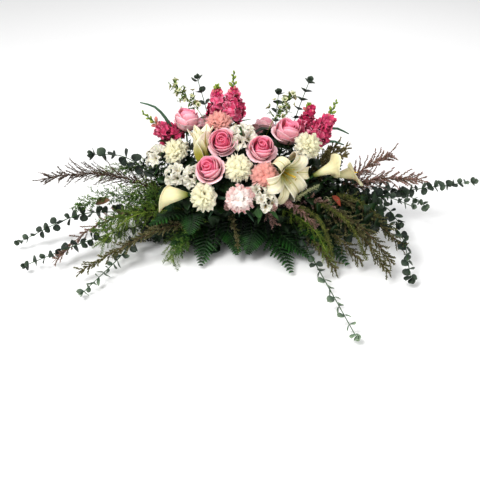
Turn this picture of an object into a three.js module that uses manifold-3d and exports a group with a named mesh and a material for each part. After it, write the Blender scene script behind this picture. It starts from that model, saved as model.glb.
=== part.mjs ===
// Casket spray: a long, low mound of cut flowers over trailing greens. Every stem stands in its own hole in a
// block of wet floral foam, and the foam sits in a shallow plastic saddle with four flat legs.
// Millimetres. +Z is up, +X runs along the spray, -Y is the side that faces the viewer.
// The origin is the middle of the saddle's flat underside, on the surface that the spray stands on.
import * as THREE from "three";
import { mergeVertices } from "three/addons/utils/BufferGeometryUtils.js";
import Module from "manifold-3d";

const wasm = await Module();
wasm.setup();

// Driving dimensions
const GAP = 0.35;
const BLADE_GAP = 0.6;
const FLOOR_GAP = 1.2;
const STEM_BOW = 0.3;
const SLIVER = 0.03;
const TRAY = { length: 470, width: 136, height: 36, wall: 2.5, floor: 3, corner: 26 };
const LEG = { reach: 46, width: 36, thick: 3, along: 95, pad: 22 };
const FOAM = { length: 446, width: 112, height: 86, edge: 6 };
const TAPE = { width: 12, thick: 0.8, along: 118, keepIn: 20, keepOut: 10 };
const ROOT = { depth: 34, greenLevel: 47, flowerLevel: 57, flowerShareX: 0.66, flowerShareY: 0.2 };
const FOAM_TOP = TRAY.floor + GAP + FOAM.height;

// Colours, roughness
const FINISH = {
  saddle: { color: "#2f4a34", roughness: 0.45 },
  foam: { color: "#3f6b45", roughness: 0.95 },
  tape: { color: "#4d7d55", roughness: 0.6 },
  rosePink: { color: "#e57f9d", roughness: 0.7 },
  carnationWhite: { color: "#f4efdc", roughness: 0.8 },
  carnationPink: { color: "#e7a196", roughness: 0.8 },
  lilyWhite: { color: "#f3eed8", roughness: 0.6 },
  callaCream: { color: "#efe6b2", roughness: 0.55 },
  snapdragonPink: { color: "#c8285f", roughness: 0.7 },
  alstroemeriaWhite: { color: "#efe9e4", roughness: 0.65 },
  sprigWhite: { color: "#dfe0b4", roughness: 0.7 },
  eucalyptusGreen: { color: "#33503f", roughness: 0.75 },
  salalGreen: { color: "#24401f", roughness: 0.5 },
  fernGreen: { color: "#1f5a2a", roughness: 0.6 },
  plumeGreen: { color: "#55802f", roughness: 0.7 },
  heatherMauve: { color: "#77605c", roughness: 0.85 },
};

// A seeded draw between 0 and 1, so that every build is the same
function seededDraw(seed) {
  let state = seed;
  return () => {
    state = (state + 0x6d2b79f5) | 0;
    let t = Math.imul(state ^ (state >>> 15), 1 | state);
    t = (t + Math.imul(t ^ (t >>> 7), 61 | t)) ^ t;
    return ((t ^ (t >>> 14)) >>> 0) / 4294967296;
  };
}

function vec(x, y, z) {
  return new THREE.Vector3(x, y, z);
}

// Solids from three.js geometry and back
function solidOf(geometry) {
  const bare = geometry.clone();
  bare.deleteAttribute("normal");
  bare.deleteAttribute("uv");
  const merged = mergeVertices(bare, 1e-4);
  const corners = [];
  const index = merged.index.array;
  for (let i = 0; i < index.length; i += 3) {
    const [a, b, c] = [index[i], index[i + 1], index[i + 2]];
    if (a !== b && b !== c && a !== c) corners.push(a, b, c);
  }
  const build = (list) =>
    new wasm.Manifold(
      new wasm.Mesh({
        numProp: 3,
        vertProperties: merged.attributes.position.array,
        triVerts: new Uint32Array(list),
      }),
    );
  const made = build(corners);
  if (made.volume() > 0) return made;
  for (let i = 0; i < corners.length; i += 3) {
    [corners[i + 1], corners[i + 2]] = [corners[i + 2], corners[i + 1]];
  }
  return build(corners);
}

function largestBody(solid) {
  const bodies = solid.decompose();
  return bodies.reduce((best, body) => (body.volume() > best.volume() ? body : best));
}

// Joins solids into one body, without the slivers that a join can leave
function fuse(solids) {
  return largestBody(largestBody(solids.reduce((whole, solid) => whole.add(solid))).simplify(SLIVER));
}

function meshOf(name, solid, finish, origin = vec(0, 0, 0)) {
  const { vertProperties, triVerts, numProp, numVert } = solid.getMesh();
  const points = new Float32Array(numVert * 3);
  for (let i = 0; i < numVert; i++) {
    points[3 * i] = vertProperties[i * numProp] - origin.x;
    points[3 * i + 1] = vertProperties[i * numProp + 1] - origin.y;
    points[3 * i + 2] = vertProperties[i * numProp + 2] - origin.z;
  }
  const geometry = new THREE.BufferGeometry();
  geometry.setAttribute("position", new THREE.BufferAttribute(points, 3));
  geometry.setIndex(new THREE.BufferAttribute(new Uint32Array(triVerts), 1));
  geometry.computeVertexNormals();
  const material = new THREE.MeshStandardMaterial({ ...finish, metalness: 0 });
  const mesh = new THREE.Mesh(geometry, material);
  mesh.name = name;
  mesh.position.copy(origin);
  return mesh;
}

// What already stands in the spray: a green blade that would cross any of it is left off
const standing = [];

function boxesNear(a, b, gap) {
  return [0, 1, 2].every((k) => a.min[k] - gap < b.max[k] && b.min[k] - gap < a.max[k]);
}

function isClear(solid, gap = BLADE_GAP) {
  const box = solid.boundingBox();
  if (box.min[2] < FLOOR_GAP) return false;
  return standing.every(
    (other) => !boxesNear(box, other.box, gap) || solid.minGap(other.solid, gap) >= gap * 0.99,
  );
}

const spray = new THREE.Group();

function plant(name, solid, finish, origin) {
  standing.push({ name, solid, box: solid.boundingBox() });
  spray.add(meshOf(name, solid, finish, origin));
}

// Moves every vertex of a geometry by a formula
function reshape(geometry, formula) {
  const position = geometry.attributes.position;
  const point = vec(0, 0, 0);
  for (let i = 0; i < position.count; i++) {
    point.fromBufferAttribute(position, i);
    formula(point, i);
    position.setXYZ(i, point.x, point.y, point.z);
  }
  return geometry;
}

// Turns local +Z to a direction, with local +X as near as it can be to a hint, and moves to a point
function facing(at, direction, hint = vec(1, 0, 0)) {
  const z = direction.clone().normalize();
  const side = Math.abs(z.dot(hint)) > 0.98 ? vec(0, 1, 0) : hint;
  const y = z.clone().cross(side).normalize();
  const x = y.clone().cross(z);
  return new THREE.Matrix4().makeBasis(x, y, z).setPosition(at);
}

// A round of petals in one skin: a lathe profile whose rings are scalloped by a formula. Each ring is
// [radius, height, lobes, turn, notch, dip]; notch draws the gaps between lobes in, and dip lowers them.
function petalRounds(rings, segments, size) {
  const profile = rings.map(([r, h]) => new THREE.Vector2(r, h));
  const geometry = new THREE.LatheGeometry(profile, segments);
  return reshape(geometry, (point, i) => {
    const [radius, height, lobes = 0, turn = 0, notch = 0, dip = 0] = rings[i % rings.length];
    const angle = (Math.floor(i / rings.length) / segments) * 2 * Math.PI;
    const gap = lobes ? 1 - Math.abs(Math.cos((lobes * (angle - turn)) / 2)) : 0;
    const r = radius * (1 - notch * gap) * size;
    point.set(r * Math.cos(angle), r * Math.sin(angle), (height - dip * gap) * size);
  });
}

// Stems
function polygon(radius, sides) {
  const corners = [];
  for (let i = 0; i < sides; i++) {
    const a = (i / sides) * 2 * Math.PI;
    corners.push(new THREE.Vector2(radius * Math.cos(a), radius * Math.sin(a)));
  }
  return new THREE.Shape(corners);
}

function tube(curve, radius, sides, steps) {
  const options = { steps, extrudePath: curve, bevelEnabled: false };
  return new THREE.ExtrudeGeometry(polygon(radius, sides), options);
}

// A stem runs straight out of its hole, then bends to leave its end along a direction
function stemCurve(root, neck, leaving) {
  const reach = root.distanceTo(neck);
  const aim = neck.clone().addScaledVector(leaving, -0.38 * reach);
  const out = aim.clone().sub(root).normalize();
  const mouth = root.clone().addScaledVector(out, ROOT.depth + 14);
  const path = new THREE.CurvePath();
  path.add(new THREE.LineCurve3(root, mouth));
  path.add(new THREE.QuadraticBezierCurve3(mouth, mouth.clone().lerp(aim, 0.8), neck));
  return path;
}

// A slim rod that swells from a point to its middle and back: a needle, a branch or a floret's stalk
function spindle(length, radius, fullest = 0.4, sides = 3) {
  return petalRounds([[0, 0], [radius / length, fullest], [0, 1]], sides, length);
}

const holes = [];

function drillFor(root, toward, radius, sides) {
  const out = toward.clone().sub(root).normalize();
  const start = root.clone().addScaledVector(out, -GAP * 2);
  const end = root.clone().addScaledVector(out, ROOT.depth * 4);
  const wide = radius + (GAP + STEM_BOW) / Math.cos(Math.PI / sides);
  holes.push(solidOf(tube(new THREE.LineCurve3(start, end), wide, sides, 1)));
}

// Where a flower's stem ends inside the foam, under its bloom and clear of the anchor tapes
function flowerRoot(at) {
  const halfX = FOAM.length / 2 - 14;
  const halfY = FOAM.width / 2 - 12;
  let x = Math.min(Math.abs(at.x) * ROOT.flowerShareX, halfX);
  if (x > TAPE.along - TAPE.keepIn && x < TAPE.along + TAPE.keepOut) {
    x = x < TAPE.along - 4 ? TAPE.along - TAPE.keepIn : TAPE.along + TAPE.keepOut;
  }
  const y = THREE.MathUtils.clamp(at.y * ROOT.flowerShareY, -halfY, halfY);
  return vec(Math.sign(at.x) * x, y, ROOT.flowerLevel);
}

function flower(name, finish, head, neckBelow, { at, faces, stem = 2.4, root }) {
  const centre = vec(...at);
  const direction = vec(...faces).normalize();
  const start = root ? vec(...root) : flowerRoot(centre);
  const neck = centre.clone().addScaledVector(direction, -neckBelow);
  const curve = stemCurve(start, neck, direction);
  const sides = 4;
  const stalk = solidOf(tube(curve, stem, sides, 4));
  const turned = facing(centre, direction);
  const bodies = head.map((geometry) => solidOf(geometry.applyMatrix4(turned)));
  plant(name, fuse([stalk, ...bodies]), finish, start);
  drillFor(start, curve.getPoint(0.5 * (ROOT.depth / curve.getLength())), stem, sides);
}

// Rose: an outer round of five petals, a second of five and a heart of three
function roseHead(size) {
  const fifth = Math.PI / 5;
  return [
    petalRounds(
      [
        [0, -0.66],
        [0.62, -0.44, 5, 0, 0.1, 0],
        [1.02, 0.2, 5, 0, 0.2, 0.16],
        [0.72, 0.1, 5, fifth, 0.1, 0],
        [0.7, 0.46, 5, fifth, 0.22, 0.14],
        [0.46, 0.24, 3, 0, 0.1, 0],
        [0.4, 0.6, 3, 0.4, 0.24, 0.14],
        [0, 0.34],
      ],
      15,
      size,
    ),
  ];
}

// Carnation: a calyx tube and frilled rounds of petals
function carnationHead(size) {
  const frills = 7;
  const half = Math.PI / frills;
  return [
    petalRounds(
      [
        [0, -1.0],
        [0.24, -0.5],
        [0.98, -0.06, frills, 0, 0.2, -0.16],
        [1.04, 0.2, frills, half, 0.18, 0.16],
        [0.74, 0.5, frills, 0, 0.26, -0.2],
        [0.44, 0.4, frills, half, 0.3, 0.2],
        [0.4, 0.78, frills, 0, 0.3, 0.26],
        [0, 0.5],
      ],
      14,
      size,
    ),
  ];
}

// Lily: six pointed petals that part a little above the throat. `open` runs from a trumpet, 0, to curled
// back, 1
function lilyHead(size, open) {
  const mix = THREE.MathUtils.lerp;
  const trumpet = petalRounds(
    [
      [0, -0.8],
      [0.1, -0.74],
      [0.2, -0.34],
      [mix(0.36, 0.66, open), mix(0.02, -0.02, open), 6, 0, 0.34, 0.16],
      [mix(0.62, 1.1, open), mix(0.5, -0.04, open), 6, 0, 0.66, mix(0.7, 0.02, open)],
      [mix(0.34, 0.62, open), mix(0.1, 0.12, open), 6, 0, 0.36, 0.16],
      [0.1, -0.32],
      [0, -0.36],
    ],
    24,
    size,
  );
  const pistil = spindle(size * 0.85, 1.6, 0.3).translate(0, 0, -0.5 * size);
  const stamens = [0, 1, 2].map((i) => {
    const lean = vec(Math.cos(i * 2.1 + 0.5) * 0.4, Math.sin(i * 2.1 + 0.5) * 0.4, 1);
    return spindle(size * 0.75, 1.5, 0.8).applyMatrix4(facing(vec(0, 0, -0.45 * size), lean));
  });
  return [trumpet, pistil, ...stamens];
}

// Calla: one rolled spathe with a flared lip drawn out to a point, and the spadix inside
function callaHead(size) {
  const spathe = petalRounds(
    [
      [0, -0.52],
      [0.07, -0.5],
      [0.11, -0.22],
      [0.18, 0.06],
      [0.32, 0.26, 1, 0, 0.3, 0.34],
      [0.14, 0.06],
      [0.07, -0.18],
      [0, -0.24],
    ],
    12,
    size,
  );
  reshape(spathe, (point) => {
    const reach = Math.max(0, point.x / size - 0.2);
    point.z += reach * reach * 12 * size * 0.45;
    point.x += reach * size * 0.5;
  });
  const spadix = new THREE.CylinderGeometry(0.022 * size, 0.045 * size, 0.5 * size, 5);
  return [spathe, spadix.rotateX(Math.PI / 2).translate(0, 0, -0.02 * size)];
}

// Alstroemeria: funnel florets in a ring at the stem's end, each a star of six petals
const FLORET_MOUTH = 18;

function alstroemeria(name, { at, faces, florets = [1, 1, 1, 1], reach = 34 }) {
  const centre = vec(...at);
  const direction = vec(...faces).normalize();
  const neck = centre.clone().addScaledVector(direction, -reach * 0.8);
  const curve = stemCurve(flowerRoot(centre), neck, direction);
  const floret = (size) => starLimb({ length: reach * size, lean: 0.85, mouth: FLORET_MOUTH * size });
  const limbs = florets.map((size) => size && floret(size));
  const nodes = [{ share: 0.96, turn: 0.4, limbs }];
  plantStem(name, FINISH.alstroemeriaWhite, curve, { half: () => 1.7, bends: 6, nodes });
}

// A green's path: straight out of the foam toward the first point, then on through the others
function greenCurve(root, points) {
  const start = vec(...root);
  const first = vec(...points[0]);
  const line = [start, start.clone().lerp(first, 0.65), ...points.map((p) => vec(...p))];
  return new THREE.CatmullRomCurve3(line, false, "centripetal");
}

// The two directions square to a path, turned round it by an angle; `up` starts on the upward side
function squareTo(curve, share, turn = 0) {
  const along = curve.getTangentAt(share);
  const flat = along.clone().cross(vec(0, 0, 1)).normalize();
  const rise = flat.clone().cross(along);
  const [c, s] = [Math.cos(turn), Math.sin(turn)];
  const right = flat.clone().multiplyScalar(c).addScaledVector(rise, s);
  const up = rise.clone().multiplyScalar(c).addScaledVector(flat, -s);
  return { along, right, up };
}

// A closed skin built corner by corner
class Skin {
  points = [];
  faces = [];

  point(position) {
    return this.points.push(position) - 1;
  }

  fan(chain, hub) {
    for (let i = 0; i + 1 < chain.length; i++) this.faces.push([chain[i], chain[i + 1], hub]);
  }

  quad(a, b, c, d) {
    this.faces.push([a, b, c], [a, c, d]);
  }

  // Four walls from one square ring to the next
  walls(from, to) {
    for (let k = 0; k < 4; k++) {
      const next = (k + 1) % 4;
      this.quad(from[k], from[next], to[next], to[k]);
    }
  }

  solid() {
    const geometry = new THREE.BufferGeometry();
    const flat = this.points.flatMap((p) => [p.x, p.y, p.z]);
    geometry.setAttribute("position", new THREE.Float32BufferAttribute(flat, 3));
    geometry.setIndex(this.faces.flat());
    return solidOf(geometry);
  }
}

// Limbs grow from one wall of a square stem. `loop` holds the wall's corners and `seat` its directions:
// out of the stem, across the wall, and along the stem.

// A blade with a shared edge and a raised middle. `rim` runs round it from one side of its base to the
// other, as [out, width] shares. It faces along the stem, or, when flat, away from it.
function bladeLimb({ length, width, rim, lean, flat = false, thick = 1.1, hub = 0.42 }) {
  return (skin, loop, { base, out, across, along }) => {
    const grow = out.clone().multiplyScalar(Math.cos(lean)).addScaledVector(along, Math.sin(lean));
    const turned = along.clone().multiplyScalar(Math.cos(lean)).addScaledVector(out, -Math.sin(lean));
    const wide = flat ? turned : across.clone().negate();
    const deep = flat ? across : turned;
    const at = (o, w, h) => {
      const spot = base.clone().addScaledVector(grow, o * length);
      return skin.point(spot.addScaledVector(wide, w * width).addScaledVector(deep, h));
    };
    const [a, b, c, d] = flat ? [loop[3], loop[0], loop[1], loop[2]] : loop;
    const edge = rim.map(([o, w]) => at(o, w, 0));
    skin.fan([a, b, ...[...edge].reverse(), a], at(hub, 0, -thick));
    skin.fan([c, d, ...edge, c], at(hub, 0, thick));
    skin.faces.push([b, c, edge[edge.length - 1]], [d, a, edge[0]]);
  };
}

// The directions of a wall's corners from its middle, square to the way that the limb grows
function ringDirections(skin, loop, base, grow) {
  return loop.map((corner) => {
    const offset = skin.points[corner].clone().sub(base);
    return offset.addScaledVector(grow, -offset.dot(grow)).setLength(1);
  });
}

// A rod through square rings to a point; each ring is [distance, scale of the wall it grows from]
function rodLimb({ length, lean, rings = [], hollow = 0 }) {
  return (skin, loop, { base, out, along }) => {
    const grow = out.clone().multiplyScalar(Math.cos(lean)).addScaledVector(along, Math.sin(lean));
    const spun = ringDirections(skin, loop, base, grow);
    let from = loop;
    for (const [distance, radius] of rings) {
      const centre = base.clone().addScaledVector(grow, distance * length);
      const ring = spun.map((offset) => skin.point(centre.clone().addScaledVector(offset, radius)));
      skin.walls(from, ring);
      from = ring;
    }
    const tip = skin.point(base.clone().addScaledVector(grow, (1 - hollow) * length));
    skin.fan([...from, from[0]], tip);
  };
}

// A funnel floret: a slim tube that opens into a star of pointed petals
function starLimb({ length, lean, petals = 6, mouth, throat = 0.55, notch = 0.5 }) {
  return (skin, loop, { base, out, along }) => {
    const grow = out.clone().multiplyScalar(Math.cos(lean)).addScaledVector(along, Math.sin(lean));
    const spun = ringDirections(skin, loop, base, grow);
    const side = grow.clone().cross(spun[0]);
    if (side.dot(spun[1]) < 0) side.negate();
    const waist = base.clone().addScaledVector(grow, throat * length);
    const ring = spun.map((offset) => skin.point(waist.clone().addScaledVector(offset, mouth * 0.16)));
    skin.walls(loop, ring);
    const count = 2 * petals;
    const perWall = count / 4;
    const star = [];
    for (let i = 0; i < count; i++) {
      const angle = (i / count) * 2 * Math.PI;
      const reach = mouth * (i % 2 ? 1 - notch : 1);
      const rim = base.clone().addScaledVector(grow, length * (i % 2 ? 0.92 : 1));
      rim.addScaledVector(spun[0], reach * Math.cos(angle)).addScaledVector(side, reach * Math.sin(angle));
      star.push(skin.point(rim));
    }
    star.push(star[0]);
    for (let k = 0; k < 4; k++) {
      const wall = star.slice(k * perWall, (k + 1) * perWall + 1).reverse();
      skin.fan(wall, ring[k]);
      skin.faces.push([ring[k], ring[(k + 1) % 4], wall[0]]);
    }
    skin.fan(star, skin.point(base.clone().addScaledVector(grow, length * (throat + 0.2))));
  };
}

// A square stem along a path, with limbs on its walls at each node. A limb that would touch a neighbour
// is left off.
function limbedStem(curve, { half, bends, nodes, neck = 1.8 }) {
  const length = curve.getLength();
  const reach = neck / length;
  const stations = [];
  const [first] = nodes;
  for (let i = 0; i < bends; i++) {
    stations.push({ share: (first.share - 2 * reach) * (i / (bends - 1)), turn: first.turn });
  }
  for (const node of nodes) {
    stations.push({ share: node.share - reach, turn: node.turn, limbs: node.limbs });
    stations.push({ share: node.share + reach, turn: node.turn });
  }
  const skin = new Skin();
  const sections = stations.map(({ share, turn }) => {
    const size = half(share);
    const { along, right, up } = squareTo(curve, share, turn);
    const centre = curve.getPointAt(share);
    const corners = [[1, -1], [1, 1], [-1, 1], [-1, -1]].map(([r, u]) =>
      skin.point(centre.clone().addScaledVector(right, r * size).addScaledVector(up, u * size)),
    );
    return { corners, along, centre, outs: [right, up, right.clone().negate(), up.clone().negate()] };
  });
  skin.quad(...[...sections[0].corners].reverse());
  for (let i = 0; i + 1 < sections.length; i++) {
    const [here, next] = [sections[i], sections[i + 1]];
    for (let k = 0; k < 4; k++) {
      const loop = [here.corners[k], here.corners[(k + 1) % 4], next.corners[(k + 1) % 4], next.corners[k]];
      const limb = stations[i].limbs?.[k];
      if (!limb || !limbIsClear(limb, skin, loop, here, k)) {
        skin.quad(...loop);
        continue;
      }
      limb(skin, loop, seatOf(skin, loop, here, k));
    }
  }
  const end = sections[sections.length - 1];
  const tip = skin.point(end.centre.clone().addScaledVector(end.along, 6));
  skin.fan([...end.corners, end.corners[0]], tip);
  return skin.solid();
}

function seatOf(skin, loop, section, k) {
  const base = vec(0, 0, 0);
  for (const corner of loop) base.addScaledVector(skin.points[corner], 0.25);
  return { base, out: section.outs[k], across: section.outs[(k + 1) % 4], along: section.along };
}

function limbIsClear(limb, skin, loop, section, k) {
  const trial = new Skin();
  const corners = loop.map((corner) => trial.point(skin.points[corner].clone()));
  limb(trial, corners, seatOf(skin, loop, section, k));
  trial.quad(...[...corners].reverse());
  return isClear(trial.solid());
}

// The hole that a square stem stands in, along its straight root
function squareHole(curve, { half, nodes }) {
  const start = curve.getPoint(0);
  const out = curve.getTangentAt(0);
  const line = new THREE.LineCurve3(
    start.clone().addScaledVector(out, -2 * GAP),
    start.clone().addScaledVector(out, ROOT.depth * 4),
  );
  const size = half(0) + GAP + STEM_BOW;
  const bare = [{ share: 0.9, turn: nodes[0].turn }];
  return limbedStem(line, { half: () => size, bends: 2, nodes: bare });
}

function plantStem(name, finish, curve, options) {
  const solid = limbedStem(curve, options);
  plant(name, solid, finish, curve.getPoint(0));
  holes.push(squareHole(curve, options));
}

// A forked stem: the first path stands in the foam, and the others branch off it just outside
function plantForked(name, finish, root, paths, dress, branchAt = 0.22) {
  const main = greenCurve(root, paths[0]);
  const stems = paths.map((path, i) => {
    const curve = i ? greenCurve(main.getPointAt(branchAt).toArray(), path) : main;
    return dress(curve, i);
  });
  plant(name, fuse(stems), finish, vec(...root));
}

function turnDraw(draw, spread) {
  return (draw() - 0.5) * spread;
}

// Eucalyptus: round leaves in pairs that turn by a right angle from pair to pair
const ROUND_LEAF = [
  [0.24, 0.5],
  [0.84, 0.4],
  [0.84, -0.4],
  [0.24, -0.5],
];

function eucalyptusStem(curve, { pairs, from, big, small, seed, half }) {
  const draw = seededDraw(seed);
  const nodes = [];
  for (let i = 0; i < pairs; i++) {
    const t = i / (pairs - 1);
    const size = THREE.MathUtils.lerp(big, small, t) * (0.92 + 0.16 * draw());
    const leaf = bladeLimb({ length: size * 1.1, width: size, rim: ROUND_LEAF, lean: 0.3 + 0.5 * t });
    const limbs = i % 2 ? [leaf, null, leaf, null] : [null, leaf, null, leaf];
    nodes.push({ share: from + (0.97 - from) * t, turn: turnDraw(draw, 0.7), limbs });
  }
  return limbedStem(curve, { half, bends: 5, nodes });
}

function eucalyptus(name, { root, through, fork, pairs = 7, from = 0.3, big = 25, small = 14, seed = 1 }) {
  const half = (t) => 1.5 - 0.5 * t;
  const paths = fork ? [through, fork] : [through];
  plantForked(name, FINISH.eucalyptusGreen, root, paths, (curve, i) =>
    eucalyptusStem(curve, { pairs: pairs - i, from: i ? 0.2 : from, big, small, seed: seed + 100 * i, half }),
  );
  holes.push(squareHole(greenCurve(root, through), { half, nodes: [{ turn: 0 }] }));
}

// Salal: broad pointed leaves along a stem that is laid beside the foam. `front` is the wall that looks
// outward.
const BROAD_LEAF = [
  [0.2, 0.42],
  [0.56, 0.5],
  [1, 0],
  [0.56, -0.5],
  [0.2, -0.42],
];

function salal(name, { root, through, front, clusters = 8, from = 0.2, long = 62, seed = 2 }) {
  const curve = greenCurve(root, through);
  const draw = seededDraw(seed);
  const nodes = [];
  for (let i = 0; i < clusters; i++) {
    const t = i / (clusters - 1);
    const leafOf = (share) => {
      const length = long * share * (0.9 + 0.25 * draw());
      return bladeLimb({ length, width: length * 0.66, rim: BROAD_LEAF, lean: 0.35, flat: true, thick: 1.2 });
    };
    const limbs = [null, null, null, null];
    limbs[front] = leafOf(1);
    limbs[3] = i % 2 ? leafOf(0.7) : null;
    limbs[1] = i % 2 ? null : leafOf(0.8);
    const turn = (front ? 1 : -1) * (0.15 + turnDraw(draw, 0.9));
    nodes.push({ share: from + (0.96 - from) * t, turn, limbs });
  }
  plantStem(name, FINISH.salalGreen, curve, { half: () => 1.5, bends: 4, nodes });
}

// Leatherleaf fern: one arched blade, cut to the rib into leaflets that are longest low on the frond. Each
// leaflet's edge is [out, forward] in shares of its length.
const CUT_LEAFLET = [
  [0.36, -0.06],
  [1, 0.42],
  [0.44, 0.42],
];

function leafletIsClear(skin, chain, over, under) {
  const trial = new Skin();
  const [edge, top, bottom] = [chain, [over], [under]].map((list) =>
    list.map((corner) => trial.point(skin.points[corner].clone())),
  );
  trial.fan(edge, top[0]);
  trial.fan([...edge].reverse(), bottom[0]);
  trial.faces.push([edge[0], top[0], bottom[0]], [edge[edge.length - 1], bottom[0], top[0]]);
  return isClear(trial.solid());
}

function frond(curve, { pairs = 8, from = 0.32, longest = 58, thick = 0.8, stalk = 1.3 }) {
  const skin = new Skin();
  const place = (share) => {
    const { along, right, up } = squareTo(curve, share);
    const middle = curve.getPointAt(share);
    return (across, forward, lift) =>
      skin.point(
        middle
          .clone()
          .addScaledVector(right, across)
          .addScaledVector(along, forward)
          .addScaledVector(up, lift - 0.003 * across * across),
      );
  };
  const bends = 4;
  let corners = null;
  for (let i = 0; i < bends; i++) {
    const at = place((from * i) / (bends - 0.5));
    const ring = [[-1, -1], [-1, 1], [1, 1], [1, -1]].map(([r, u]) => at(r * stalk, 0, u * stalk));
    if (corners) skin.walls(corners, ring);
    else skin.quad(...[...ring].reverse());
    corners = ring;
  }
  const sizeAt = (t) => longest * (1 - 0.8 * Math.pow(t, 1.2));
  const gapShare = (0.97 - from) / pairs;
  const notches = [];
  for (let i = 0; i < pairs; i++) {
    const at = place(from + gapShare * i);
    const reach = i ? 0.14 * sizeAt(i / pairs) : stalk + 0.8;
    notches.push([at(reach, 0, 0), at(-reach, 0, 0)]);
  }
  const tip = place(0.97)(0, 12, 0);
  notches.push([tip, tip]);
  let hubs = null;
  for (let i = 0; i < pairs; i++) {
    const at = place(from + gapShare * (i + 0.5));
    const size = sizeAt((i + 0.5) / pairs);
    const [over, under] = [at(0, 0, thick), at(0, 0, -thick)];
    [1, -1].forEach((side, k) => {
      const edge = CUT_LEAFLET.map(([out, on]) => at(side * out * size, on * size, 0));
      const whole = [notches[i][k], ...edge, notches[i + 1][k]];
      const chain = leafletIsClear(skin, whole, over, under) ? whole : [notches[i][k], notches[i + 1][k]];
      const back = [...chain].reverse();
      skin.fan(side > 0 ? chain : back, over);
      skin.fan(side > 0 ? back : chain, under);
      if (!hubs) return;
      const [o, u] = hubs;
      const rib = [[notches[i][k], over, o], [notches[i][k], u, under]];
      skin.faces.push(...(side > 0 ? rib : rib.map(([x, y, z]) => [x, z, y])));
    });
    if (!hubs) {
      const [leftLow, leftHigh, rightHigh, rightLow] = corners;
      const [right, left] = notches[0];
      skin.faces.push([leftHigh, rightHigh, over], [rightHigh, right, over], [over, left, leftHigh]);
      skin.faces.push([rightLow, leftLow, under], [under, right, rightLow], [leftLow, left, under]);
      skin.faces.push([rightLow, right, rightHigh], [leftHigh, left, leftLow]);
    }
    hubs = [over, under];
  }
  return skin.solid();
}

function fern(name, { root, fronds }) {
  const stalk = 1.3;
  plantForked(name, FINISH.fernGreen, root, fronds, (curve, i) =>
    frond(curve, i ? { pairs: 6, longest: 52, from: 0.3, stalk } : { pairs: 7, stalk }),
  );
  holes.push(squareHole(greenCurve(root, fronds[0]), { half: () => stalk, nodes: [{ turn: 0 }] }));
}

// Plume fern: soft green needles on a rib, in all directions
function plume(name, { root, through, whorls = 11, from = 0.28, longest = 52, seed = 3 }) {
  const curve = greenCurve(root, through);
  const draw = seededDraw(seed);
  const nodes = [];
  for (let i = 0; i < whorls; i++) {
    const t = i / (whorls - 1);
    const limbs = [0, 1, 2, 3].map(() => {
      const size = longest * (1 - 0.6 * t) * (0.7 + 0.5 * draw());
      return draw() < 0.85 ? rodLimb({ length: size, lean: 0.7 + 0.2 * draw() }) : null;
    });
    nodes.push({ share: from + (0.98 - from) * t, turn: i * 0.8 + turnDraw(draw, 0.4), limbs });
  }
  plantStem(name, FINISH.plumeGreen, curve, { half: (t) => 1.5 - 0.6 * t, bends: 5, nodes });
}

// Heather: twigs thick with small leaves, drawn as slim rods that swell toward their ends
function heather(name, { root, through, whorls = 7, from = 0.3, longest = 100, seed = 5 }) {
  const curve = greenCurve(root, through);
  const draw = seededDraw(seed);
  const nodes = [];
  for (let i = 0; i < whorls; i++) {
    const t = i / (whorls - 1);
    const limbs = [0, 1, 2, 3].map(() => {
      const size = longest * (1 - 0.5 * t) * (0.7 + 0.5 * draw());
      const twig = rodLimb({ length: size, lean: 0.85 + 0.3 * draw(), rings: [[0.6, 3.2]] });
      return draw() < 0.62 ? twig : null;
    });
    nodes.push({ share: from + (0.93 - from) * t, turn: i * 0.9 + turnDraw(draw, 0.5), limbs });
  }
  plantStem(name, FINISH.heatherMauve, curve, { half: (t) => 1.6 - 0.6 * t, bends: 5, nodes });
}

// Snapdragon: a spike of open florets in whorls of four, closed buds at the tip
function snapdragon(name, { base, tip, whorls, budWhorls, floretSize, root }) {
  const low = vec(...base);
  const high = vec(...tip);
  const axis = high.clone().sub(low).normalize();
  const start = root ? vec(...root) : flowerRoot(low);
  const stalk = stemCurve(start, low, axis);
  const curve = new THREE.CurvePath();
  stalk.curves.forEach((piece) => curve.add(piece));
  curve.add(new THREE.LineCurve3(low, high));
  const spike = low.distanceTo(high) / curve.getLength();
  const nodes = [];
  for (let i = 0; i < whorls + budWhorls; i++) {
    const t = i / (whorls + budWhorls - 1);
    const open = i < whorls;
    const size = floretSize * (open ? 1.25 - 0.4 * t : 0.75 - 0.3 * t);
    const mouth = [[0.95, size * 0.62]];
    const bud = [[0.5, size * 0.26]];
    const limb = rodLimb({
      length: size,
      lean: 0.45 + 0.3 * t,
      rings: open ? mouth : bud,
      hollow: open ? 0.4 : 0,
    });
    const share = 1 - spike * (0.98 - 0.93 * t);
    nodes.push({ share, turn: i * (Math.PI / 4), limbs: [limb, limb, limb, limb] });
  }
  plantStem(name, FINISH.snapdragonPink, curve, { half: () => 1.8, bends: 6, nodes, neck: 2.2 });
}

// White sprig: a branched stem of small cups and buds
function sprig(name, { base, tip, whorls = 4, cup = 6 }) {
  const low = vec(...base);
  const high = vec(...tip);
  const axis = high.clone().sub(low).normalize();
  const curve = new THREE.CurvePath();
  stemCurve(flowerRoot(low), low, axis).curves.forEach((piece) => curve.add(piece));
  curve.add(new THREE.LineCurve3(low, high));
  const spike = low.distanceTo(high) / curve.getLength();
  const nodes = [];
  for (let i = 0; i < whorls; i++) {
    const t = i / (whorls - 1);
    const limbs = [0, 1, 2, 3].map((k) => {
      const length = (34 - 16 * t) * (k % 2 ? 1 : 0.72);
      const size = cup * (1 - 0.4 * t);
      return rodLimb({ length, lean: 0.8 + 0.2 * t, rings: [[0.74, 1], [0.95, size]], hollow: 0.14 });
    });
    nodes.push({ share: 1 - spike * (0.95 - 0.9 * t), turn: i * 0.8, limbs });
  }
  plantStem(name, FINISH.sprigWhite, curve, { half: () => 1.3, bends: 6, nodes });
}

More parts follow.
